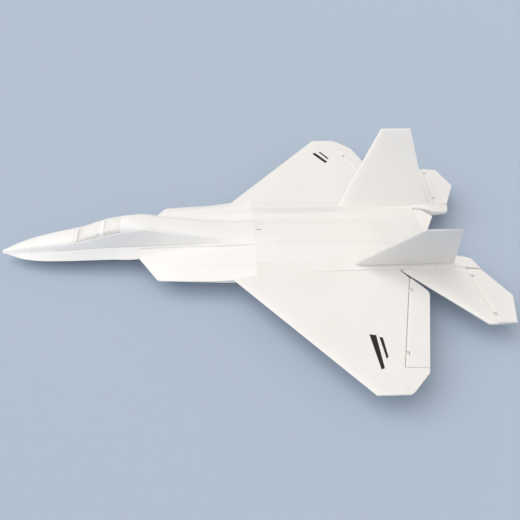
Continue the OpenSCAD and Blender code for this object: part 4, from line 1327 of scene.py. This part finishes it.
@dataclass
class Fins:
    """Two fins that lean outwards, thin and with rounded edges."""

    shop: Paintshop
    root: tuple[float, float] = (751.0, 959.0)
    top: tuple[float, float] = (842.0, 909.0)
    height: float = 156.0
    base_z: float = 65.0
    base_y: float = 98.0
    cant: float = 26.5
    thick: tuple[float, float] = (9.0, 4.0)
    cap: float = 0.975

    def build(self) -> list[Piece]:
        """Makes both fins, with a rounded nose and a rounded cap.

        Returns:
            The left fin, then the right one.
        """
        lean, tilt = math.tan(math.radians(self.cant)), math.cos(math.radians(self.cant))
        cap = self.cap
        levels = np.append(np.linspace(0, cap, 24), cap + (1 - cap) * np.sin(np.radians([25, 50, 70, 90])))
        p = np.append(1 - np.cos(np.linspace(0, math.pi / 2, 14)), [0.97, 0.985, 1.0])
        p = np.unique(np.clip(p, 0, 1))
        nose = np.sqrt(np.clip(1 - (1 - np.clip(p / 0.16, 0, 1)) ** 2, 0, 1))
        aft = 1 - 0.72 * np.clip((p - 0.3) / 0.7, 0, 1) ** 1.6
        made = []
        for side in Side:
            grids = []
            for face in (1, -1):
                rows = []
                for k in levels:
                    x0, x1 = (a + (b - a) * k for a, b in zip(self.root, self.top))
                    t = (self.thick[0] + (self.thick[1] - self.thick[0]) * k) / 2
                    if k > cap:
                        t *= max(0.25, math.sqrt(max(0.0, 1 - ((k - cap) / (1 - cap)) ** 2)))
                    z = np.full_like(p, k * self.height)
                    y = self.base_y + z * lean + face * (t * nose * aft / tilt)
                    rows.append(np.stack([x_of(x0 + (x1 - x0) * p), y, self.base_z + z], axis=1))
                grids.append(np.array(rows) * [1, side.value, 1])
            obj = shell(f"fin_foam_{side.word}", *grids)
            made.append(self.shop.fit(obj, FOAM, "airframe", "foam", f"fin_{side.word}"))
        return made


@dataclass
class TailBooms:
    """Foam blocks beside the nozzle that carry the fins and the tailplane."""

    air: Airframe
    shop: Paintshop
    rows: Rows = (
        (922, 87.9, 65, 50, 46),
        (937, 87.9, 65, 50, 46),
        (959, 80, 65, 50, 46),
        (973, 74, 63, 50, 46),
        (1003, 78, 58, 51, 49),
        (1014, 103, 55, 51, 51),
    )

    def build(self) -> list[Piece]:
        """Makes both booms from one set of rounded outlines.

        Returns:
            The left boom, then the right one.
        """
        table = np.array(self.rows, float)
        s = np.linspace(table[0, 0], table[-1, 0], 40)
        inn, top, low_in, low_out = monotone(table[:, 0], table[:, 1:], s).T
        edge = self.air.edge(s)
        mid = np.minimum(np.maximum(np.minimum(92, edge - 5.5), inn + 2.2), edge - 2)
        points = [
            (inn, top - 4),
            (inn + 0.6, top - 1.8),
            (inn + 2, top - 0.5),
            (mid, top),
            (edge - 1.5, top),
            (edge, np.minimum(self.air.shelf_z, top) - 0.5),
            (edge, low_out + 0.5),
            (edge - 1, low_out),
            (mid, low_out),
            (inn + 2, low_in - 1),
            (inn, low_in + 1),
        ]
        made = []
        for side in Side:
            grid = section(s, points) * [1, side.value, 1]
            rows, cols = grid.shape[:2]
            ends = [tuple(range(cols)), tuple(reversed(range((rows - 1) * cols, rows * cols)))]
            obj = add_mesh(f"tail_boom_foam_{side.word}", grid, ring_faces(rows, cols) + ends)
            tidy(obj)
            soften(obj, 1.2)
            made.append(self.shop.fit(obj, FOAM, "airframe", "foam", f"tail_boom_{side.word}"))
        return made


@dataclass
class Markings:
    """Black film on the wings: on each, a long tapered bar and a short one.

    Each quad lists four corners as station and offset.
    """

    wing: FlyingSurface
    shop: Paintshop
    left: tuple[Rows, ...] = (
        ((745, 276), (757, 278), (756, 349), (750, 352)),
        ((762, 282), (768, 284), (768, 326), (764, 330)),
    )
    right: tuple[Rows, ...] = (
        ((724, 330), (731, 336), (758, 292), (751, 286)),
        ((742, 338), (746, 340), (764, 308), (760, 305)),
    )

    def build(self) -> list[Piece]:
        """Cuts the film to shape and lays it on the upper skin."""
        made = []
        u = np.linspace(0, 1, 14)
        for side, bars in ((Side.LEFT, self.left), (Side.RIGHT, self.right)):
            parts = []
            for bar in bars:
                q = np.array(bar, float)
                a, b = q[0] + (q[1] - q[0]) * u[:, None], q[3] + (q[2] - q[3]) * u[:, None]
                s, y = np.moveaxis(a[:, None] + (b - a)[:, None] * u[None, :, None], 2, 0)
                base = np.stack([x_of(s), y * side.value, self.wing.height(s, y)], axis=2)
                parts.append(shell(f"wing_marking_{side.word}", base + [0, 0, 0.22], base - [0, 0, 0.2]))
            made.append(self.shop.fit(joined(*parts), FILM, "airframe", "foam"))
        return made


@dataclass
class InsideParts:
    """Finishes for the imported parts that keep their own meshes."""

    shop: Paintshop
    table: tuple[tuple[Finish, str], ...] = (
        (DUCT, "inlet_duct thrust_tube"),
        (PLY, "centre_former battery_tray equipment_deck"),
        (WEBBING, "battery_strap"),
        (WRAP, "battery"),
        (BLACK_NYLON, "fan_housing fan_rotor spinner tail_cone"),
        (STEEL, "rotor_shaft aileron_pins elevator_pins aileron_rod elevator_rod"),
        (ALLOY, "motor"),
        (CARBON, "wing_spars tail_spars"),
        (WHITE_NYLON, "hinge_barrels aileron_horn elevator_horn aileron_arm elevator_arm"),
        (CASE, "servos receiver"),
        (SLEEVE, "speed_controller"),
    )

    def build(self, nodes: dict[str, Piece]) -> int:
        """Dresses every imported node, foam where nothing else is said, and counts them."""
        words = {word: finish for finish, names in self.table for word in names.split()}
        for name, obj in nodes.items():
            match = max((w for w in words if name.startswith(w)), key=len, default=None)
            self.shop.dress(obj, words.get(match, FOAM))
        return len(nodes)


@dataclass
class Studio:
    """Floor, soft light and the camera."""

    shop: Paintshop
    target: tuple[float, float, float] = (0.0101, 0.0, 0.054)
    place: tuple[float, float, float] = (0.0464, 0.8971, 0.8411)
    roll: float = 0.57
    lens: float = 37.70
    shift: tuple[float, float] = (0.0427, -0.0415)
    floor_colour: str = "#adbbcc"

    def floor(self) -> Piece:
        """A floor that curves up into a wall on every side, out of plain card."""
        u = np.linspace(-1, 1, 49)
        x, y = np.meshgrid(u * 9000, u * 9000, indexing="ij")
        z = np.maximum(0, np.hypot(x, y) - 5000) ** 1.5 / 90 - 0.6
        grid = np.stack([x, y, z], axis=2)
        n = len(u)
        starts = [r * n + c for r in range(n - 1) for c in range(n - 1)]
        faces = [(i, i + n, i + n + 1, i + 1) for i in starts]
        obj = add_mesh("studio_floor", grid, faces)
        obj.data.shade_smooth()
        card = MouldedPlastic("matt_blue_grey_card", self.floor_colour, 0.95, 1.4, grain=4, depth=0.01)
        self.shop.dress(obj, card)
        return obj

    def light(
        self,
        name: str,
        towards: tuple[float, float, float],
        spread: float,
        power: float,
        colour: tuple[float, float, float] = (1.0, 1.0, 1.0),
    ) -> None:
        """A wide, soft sun that shines from a direction, even over the floor.

        Args:
            name: Name of the light.
            towards: Direction from the plane to the light.
            spread: Angle across the source in degrees.
            power: Strength in watts per square metre.
            colour: Linear colour of the light.
        """
        data = bpy.data.lights.new(name, "SUN")
        data.energy, data.angle, data.color = power, math.radians(spread), colour
        obj = bpy.data.objects.new(name, data)
        obj.rotation_euler = Vector(towards).to_track_quat("Z", "Y").to_euler()
        bpy.context.scene.collection.objects.link(obj)

    def camera(self) -> None:
        """The camera, rolled a little about its own axis."""
        data = bpy.data.cameras.new("camera")
        data.lens, data.sensor_width = self.lens, 36.0
        data.shift_x, data.shift_y = self.shift
        data.clip_end = 50
        cam = bpy.data.objects.new("camera", data)
        aim = Vector(self.target) - Vector(self.place)
        turn = aim.to_track_quat("-Z", "Y").to_matrix().to_4x4()
        roll = Matrix.Rotation(math.radians(self.roll), 4, "Z")
        cam.matrix_world = Matrix.Translation(self.place) @ turn @ roll
        bpy.context.scene.collection.objects.link(cam)
        bpy.context.scene.camera = cam

    def build(self) -> None:
        """Sets up floor, lights, world and camera."""
        self.floor()
        world = bpy.data.worlds.new("studio")
        world.use_nodes = True
        back = world.node_tree.nodes["Background"]
        back.inputs["Color"].default_value = linear("#fdf7f1")
        back.inputs["Strength"].default_value = 0.6
        bpy.context.scene.world = world
        self.light("key", (0.7, 0.2, 1.0), 75, 1.9)
        self.light("fill", (0.1, 1.0, 0.25), 60, 0.68, (1.0, 0.93, 0.86))
        self.camera()
        bpy.context.scene.view_settings.view_transform = "Standard"


def main() -> None:
    """Builds the plane in order, then the studio round it."""
    logging.basicConfig(level=logging.INFO, format="%(name)s: %(message)s")
    shop = Paintshop()
    count = InsideParts(shop).build(frame["nodes"])
    LOG.info("dressed %d packed nodes", count)
    air = Airframe()
    body = ForwardBody(air, shop)
    wing = FlyingSurface(
        kind="wing",
        moving="aileron",
        hinge=HingeLine((861.6, 136.6), (796.4, 348.0)),
        shop=shop,
        air=air,
        lead=(502.0, 127.0, 230 / 273),
        ys=(127.0, 400.0),
        halves=(8.0, 3.0),
        tip=(394.0, 400.0),
        root_rear=842.0,
        ends=((0.0, 885, 165.4), (0.09, 887.6, 175.7), (1.0, 836, 348)),
        spot=0.34,
        reach=58.0,
        block=((348.8, 835.5), (358.8, 832.5), (394.0, 798.0), (400.0, 790.0)),
    )
    tail = FlyingSurface(
        kind="stabilizer",
        moving="elevator",
        hinge=HingeLine((987.0, 111.5), (998.0, 253.0)),
        shop=shop,
        air=air,
        lead=(851.0, 113.0, 125.6 / 142),
        ys=(113.0, 130.0, 190.0, 249.0),
        halves=(6.0, 5.7, 4.8, 4.0),
        tip=(249.0, 255.0),
        root_rear=981.5,
        ends=((0.0, 1014.5, 110.5), (0.5, 1050, 184), (1.0, 1031, 252)),
        spot=0.32,
        reach=46.0,
    )
    groups = (
        body,
        Cockpit(body, shop),
        IntakeTrunk(air, body, shop),
        RearBody(air, shop),
        wing,
        tail,
        Fins(shop),
        TailBooms(air, shop),
        Markings(wing, shop),
        Nozzle(shop),
    )
    for group in groups:
        for obj in group.build():
            LOG.info("%s: %d faces", obj.name, len(obj.data.polygons))
    Studio(shop).build()


if __name__ == "__main__":
    main()
